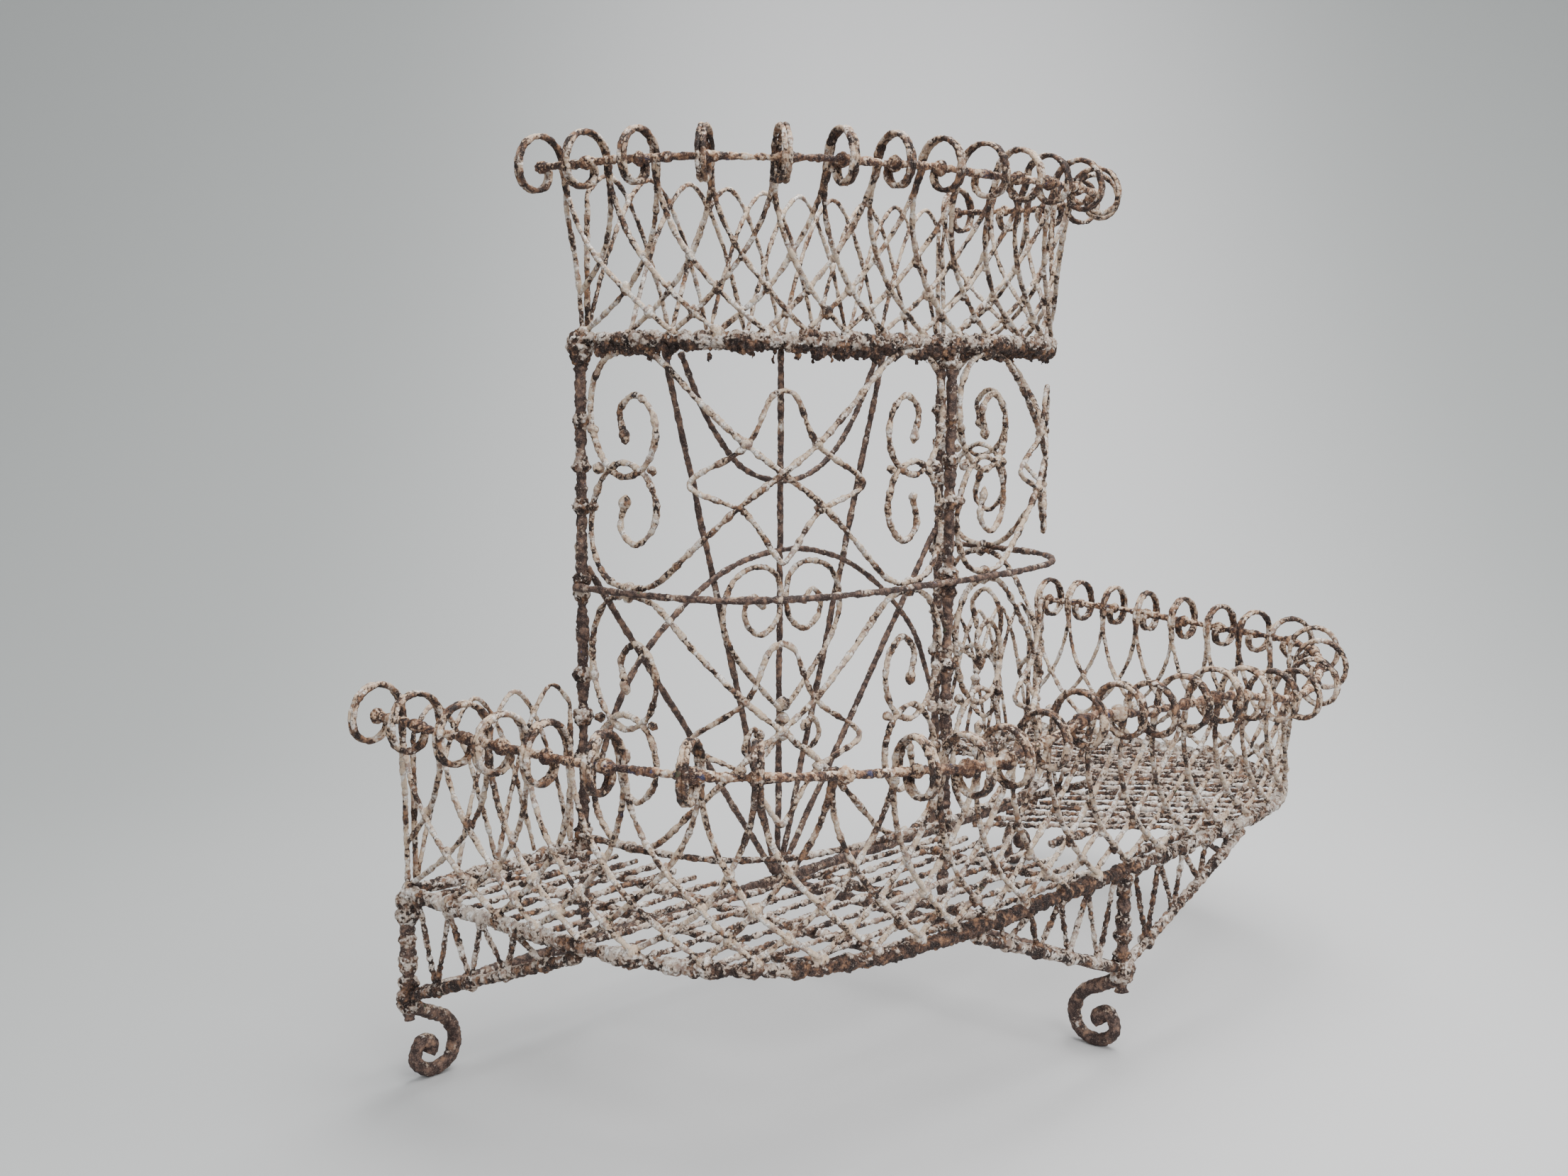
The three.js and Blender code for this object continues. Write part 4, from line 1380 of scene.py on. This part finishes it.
    def _drips(self, plan: DPlan) -> None:
        """Makes the lumps of old paint that hang under the front of the shelf's rim."""
        chance = random.Random(11)
        work = WireWork("shelf_rim_drips", THICK_CRUST, crust=2.4 * MM, melt=1.1 * MM)
        for _ in range(self.drips):
            share = chance.uniform(0.02, 0.98)
            hang = chance.uniform(0.0, 1.0) ** 1.4
            thick = 0.55 + 0.45 * noise.noise(plan.at(share) * 14.0)
            size = chance.uniform(3.2, 6.6) * MM
            out = chance.uniform(-6.0, 4.0) * MM
            centre = plan.place(share, out, (-1.0 - 19.0 * hang * thick) * MM)
            way = plan.outward(share).cross(UP) + UP * chance.uniform(-0.6, 0.6)
            worn = 0.3 + 1.5 * hang * chance.uniform(0.6, 1.0)
            work.lump(centre, way, chance.uniform(2.0, 4.4) * size, size, min(worn, 1.6))
        for _ in range(self.crumbs):
            share = chance.uniform(0.1, 0.9)
            top = plan.place(share, chance.uniform(-6.0, 2.0) * MM, -8.0 * MM)
            down = Vector((chance.uniform(-0.3, 0.3), chance.uniform(-0.3, 0.3), -1.0))
            length = chance.uniform(9.0, 20.0) * MM
            work.lump(top + down * 5.0 * MM, down, length, chance.uniform(1.4, 2.4) * MM, 1.4)
        work.make()


@dataclass
class Fan:
    """The wall side of the tower: five rods from one foot, a heart and scrolls."""

    sizes: Sizes
    rod_radius: float = 3.5 * MM
    wire_radius: float = 3.1 * MM

    HEART: ClassVar[Shape] = (
        (-38, 411), (-50, 421), (-64, 411), (-62, 391), (-38, 376), (-10, 392), (-5, 425), (-12, 442),
        (-30, 452), (-55, 453), (-82, 442), (-97, 420), (-99, 390), (-80, 357), (-40, 317), (-3, 286),
    )  # fmt: skip
    TAIL: ClassVar[Shape] = (
        (-40, 262), (-48, 270), (-60, 262), (-64, 246), (-48, 234), (-26, 240), (-5, 262),
    )  # fmt: skip
    HANGING_ARC: ClassVar[Shape] = ((166, 690), (118, 611), (66, 564), (0, 548))
    ARCH: ClassVar[Shape] = ((288, 262), (246, 347), (176, 412), (90, 456), (0, 470))

    def build(self) -> None:
        """Makes the rods, the two bowed wires, the heart and the scrolls."""
        s = self.sizes
        rods = WireWork("fan_rods_rod", BARE_IRON, crust=0.55 * MM, sway=1.0 * MM)
        foot = s.base_z + 9.0 * MM
        top = s.shelf_z - 4.0 * MM
        post = s.tower_half_width - 8.0 * MM
        ends = (
            (-post, s.ring_z + 18.0 * MM),
            (-186.0 * MM, top),
            (0.0, top),
            (186.0 * MM, top),
            (post, s.ring_z + 18.0 * MM),
        )
        for number, (x, z) in enumerate(ends):
            start = Vector(((number - 2) * 3.0 * MM, s.wall, foot))
            rods.wire([start, Vector((x, s.wall, z))], self.rod_radius, Section.ROD, lumpy=0.12)
        rods.lump(Vector((0, s.wall, foot + 6.0 * MM)), Vector((1, 0, 0.2)), 26.0 * MM, 10.0 * MM)
        rods.make("fan_rods")
        for name, half in (("fan_hanging_arc", self.HANGING_ARC), ("fan_arch", self.ARCH)):
            work = WireWork(name + "_rod", BARE_IRON, crust=0.6 * MM)
            line = [self._at(-x, z) for x, z in half] + [self._at(x, z) for x, z in reversed(half[:-1])]
            work.wire(line, self.wire_radius, Section.ROD)
            work.make(name)
        self._pair("fan_heart_scrolls", "fan_heart", self.HEART, (416, 292))
        self._pair("fan_tail_scrolls_pair", "fan_tail_scrolls", self.TAIL, (258, 275))

    def _at(self, x: float, z: float) -> Vector:
        """A point on the front of the fan, from millimetres across and up."""
        return Vector((x * MM, self.sizes.wall - self.rod_radius - self.wire_radius * 0.8, z * MM))

    def _pair(self, name: str, node: str, half: Shape, ties: Sequence[float]) -> None:
        """Makes two mirrored wires tied to the middle rod."""
        work = WireWork(name, CURL_PAINT, crust=0.8 * MM)
        for side in (1, -1):
            line = [self._at(x * side, z) for x, z in half]
            work.wire(line, self.wire_radius)
            work.lump(line[0], line[0] - line[1], 16.0 * MM, 5.6 * MM)
        for z in ties:
            work.lump(self._at(0, z), UP, 17.0 * MM, 8.0 * MM)
        work.make(node)


# How far each basket's rail stands outside its rim: at the left end, at the front, at the right
# end, and how much less near the right corner.
LOWER_FLARE = (30.0 * MM, 54.0 * MM, 30.0 * MM, 28.0 * MM)
UPPER_FLARE = (53.0 * MM, 72.0 * MM, 20.0 * MM, 14.0 * MM)

# Where the lower rail has sagged, and where it is pushed up: by how much, where and over how far.
LOWER_DROOPS = (
    (30.0 * MM, 0.655, 0.075),
    (-12.0 * MM, 0.415, 0.035),
    (9.0 * MM, 0.33, 0.04),
    (9.0 * MM, 0.83, 0.09),
)

# How far each curl stands off its even place along the rail, in millimetres.
LOWER_NUDGES = (
    -5, -5, 4, -4, -8, -7, 10, 3, 14, 18, 13, 0, -8, -14, -8, -11,
    -11, -9, -3, 3, 9, 15, 21, 27, 33, 39, 34, 33, 31, 23, 17, 5,
)  # fmt: skip
UPPER_NUDGES = (-4, 0, 0, 2, 8, 2, -3, -6, -6, -9, -19, -12, -6, -3, 0, 0, 0, 3)


def lower_basket(sizes: Sizes) -> Basket:
    """The large basket round the floor; one of its curls has broken off."""
    plan = sizes.floor_plan(sizes.floor_z)
    return Basket(
        "lower", plan, LOWER_WALL, LOWER_FLARE, 32, LOWER_DROOPS, missing=(8,), nudges=LOWER_NUDGES
    )


def upper_basket(sizes: Sizes) -> Basket:
    """The small basket round the shelf."""
    plan = sizes.tower_plan(sizes.shelf_z)
    return Basket("upper", plan, UPPER_WALL, UPPER_FLARE, 18, nudges=UPPER_NUDGES)


def wall_lattices(sizes: Sizes) -> list[WallLattice]:
    """The lattices on the wall side: left and right of the tower, and on the shelf."""
    beside = sizes.tower_half_width + 17.0 * MM
    reach = sizes.half_width - 11.0 * MM
    inside = sizes.tower_half_width - 9.0 * MM
    lattices = []
    for side, left, right, floor, rise, count in (
        ("left", -reach, -beside, sizes.floor_z, LOWER_WALL, 4),
        ("right", beside, reach, sizes.floor_z, LOWER_WALL, 4),
        ("upper", -inside, inside, sizes.shelf_z, UPPER_WALL, 10),
    ):
        name, node = "wall_hairpins_" + side, "wall_lattice_" + side
        foot, top = floor + WALL_FOOT, floor + rise
        lattices.append(WallLattice(name, node, left, right, sizes.wall, foot, top, count))
    return lattices


# ---- Studio -----------------------------------------------------------------------------------


@dataclass
class Studio:
    """A seamless pale backdrop, soft lights and the camera.

    Attributes:
        middle_x: Where the stand's middle is.
        wall_y: Where its wall side is.
        eye: The camera, from the middle of the wall side.
        yaw: How far the camera is turned from the stand's own back and forth.
        pitch: How far it looks down.
        roll: How far it leans.
        lens: Its focal length in millimetres.
        near_edge: Where the paper begins, behind the camera.
        flat: Where it begins to bend up.
        bend: How gently it bends.
        paper_length: Its length.
        paper_reach: Half its width.
    """

    middle_x: float
    wall_y: float
    eye: Point = (-1.5092, -1.3367, 0.6856)
    yaw: float = math.radians(48.61)
    pitch: float = math.radians(7.35)
    roll: float = math.radians(0.41)
    lens: float = 41.0
    near_edge: float = -6.0
    flat: float = 0.9
    bend: float = 2.6
    paper_length: float = 16.0
    paper_reach: float = 9.0

    def build(self) -> None:
        """Makes the backdrop, lights and camera."""
        self._backdrop()
        self._lights()
        self._camera()

    def _camera(self) -> None:
        """Puts the camera at the view's place."""
        data = bpy.data.cameras.new("view")
        data.lens = self.lens
        data.sensor_width = 36.0
        camera = bpy.data.objects.new("view", data)
        bpy.context.scene.collection.objects.link(camera)
        turn = Matrix.Rotation(-self.yaw, 4, "Z")
        tilt = Matrix.Rotation(math.pi / 2 - self.pitch, 4, "X")
        spin = Matrix.Rotation(self.roll, 4, "Z")
        eye = Vector(self.eye) + Vector((self.middle_x, self.wall_y, 0.0))
        place = Matrix.Translation(eye)
        camera.matrix_world = place @ turn @ tilt @ spin
        bpy.context.scene.camera = camera

    def _backdrop(self) -> None:
        """Makes the floor, which sweeps up into a wall behind the stand without an edge."""
        bpy.ops.object.select_all(action="DESELECT")
        bpy.ops.mesh.primitive_grid_add(x_subdivisions=2, y_subdivisions=90, size=2.0)
        floor = bpy.context.object
        floor.name = "studio_floor"
        ahead = Vector((math.sin(self.yaw), math.cos(self.yaw), 0.0))
        aside = Vector((ahead.y, -ahead.x, 0.0))
        for vertex in floor.data.vertices:
            run = self.near_edge + self.paper_length * (vertex.co.y + 1) / 2
            over = min(max(run - self.flat, 0.0), self.bend * math.pi / 2)
            turn = over / self.bend
            far = min(run, self.flat) + self.bend * math.sin(turn)
            high = self.bend * (1 - math.cos(turn)) + max(0.0, run - self.flat - over)
            across = aside * (self.paper_reach * vertex.co.x)
            vertex.co = ahead * far + across + UP * (high - 0.4 * MM)
        bpy.ops.object.shade_smooth()
        floor.data.materials.append(self._paper(aside))

    @staticmethod
    def _paper(aside: Vector) -> bpy.types.Material:
        """The paper's material, with painted shade that makes it a little darker to the left and right.

        Args:
            aside: The level direction across the view.

        Returns:
            The material.
        """
        material = bpy.data.materials.new("studio_paper")
        bench = NodeBench(material)
        shader = bench.tree.nodes.new("ShaderNodeBsdfPrincipled")
        place = bench.tree.nodes.new("ShaderNodeTexCoord").outputs["Object"]
        across = bench.tree.nodes.new("ShaderNodeVectorMath")
        across.operation = "DOT_PRODUCT"
        bench.put(across.inputs[0], place)
        across.inputs[1].default_value = aside
        # Painted shade: the paper darkens away from the middle of the view, where the light falls off.
        from_middle = bench.math("ABSOLUTE", bench.math("SUBTRACT", across.outputs["Value"], 0.12))
        shade = bench.step(from_middle, 0.15, 1.5)
        paper = bench.mix(shade, linear(0.825, 0.828, 0.832), linear(0.685, 0.698, 0.696))
        bench.put(shader.inputs["Base Color"], paper)
        shader.inputs["Roughness"].default_value = 0.7
        out = bench.tree.nodes.new("ShaderNodeOutputMaterial")
        bench.put(out.inputs["Surface"], shader.outputs[0])
        return material

    def _lights(self) -> None:
        """Makes the sky glow and the large soft lamps."""
        world = bpy.data.worlds.new("studio_air")
        bpy.context.scene.world = world
        world.use_nodes = True
        air = world.node_tree.nodes["Background"]
        air.inputs[0].default_value = (0.80, 0.81, 0.82, 1.0)
        air.inputs[1].default_value = 0.74
        for name, place, size, power, tint in (
            ("top_panel", (0.2, -0.5, 3.2), 2.4, 118.0, (1.0, 0.99, 0.98)),
            ("front_panel", (-1.4, -3.0, 2.4), 1.8, 60.0, (1.0, 1.0, 1.0)),
            ("wall_panel", (1.5, 0.9, 3.2), 1.6, 44.0, (1.0, 1.0, 1.0)),
        ):
            data = bpy.data.lights.new(name, "AREA")
            data.shape = "SQUARE"
            data.size = size
            data.energy = power
            data.color = tint
            lamp = bpy.data.objects.new(name, data)
            bpy.context.scene.collection.objects.link(lamp)
            lamp.location = place
            aim = Vector((0.0, 0.0, 0.4)) - Vector(place)
            lamp.rotation_euler = aim.to_track_quat("-Z", "Y").to_euler()


def main() -> None:
    """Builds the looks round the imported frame."""
    logging.basicConfig(level=logging.INFO, format="%(name)s: %(message)s")
    # Without a seed of its own, vector noise starts from the clock and differs from run to run.
    noise.seed_set(WANDER_SEED)
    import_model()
    sizes = Sizes.from_frame()
    LOG.info("wall line at %.4f, lower D %.4f by %.4f", sizes.wall, sizes.half_width, sizes.depth)
    WireWork.middle = Vector((sizes.middle, 0.0, 0.0))
    Studio(sizes.middle, sizes.wall).build()
    Legs(sizes).build()
    LowerFloor(sizes).build()
    Tower(sizes).build()
    Fan(sizes).build()
    lower_basket(sizes).build()
    upper_basket(sizes).build()
    for lattice in wall_lattices(sizes):
        lattice.build()


if __name__ == "__main__":
    main()
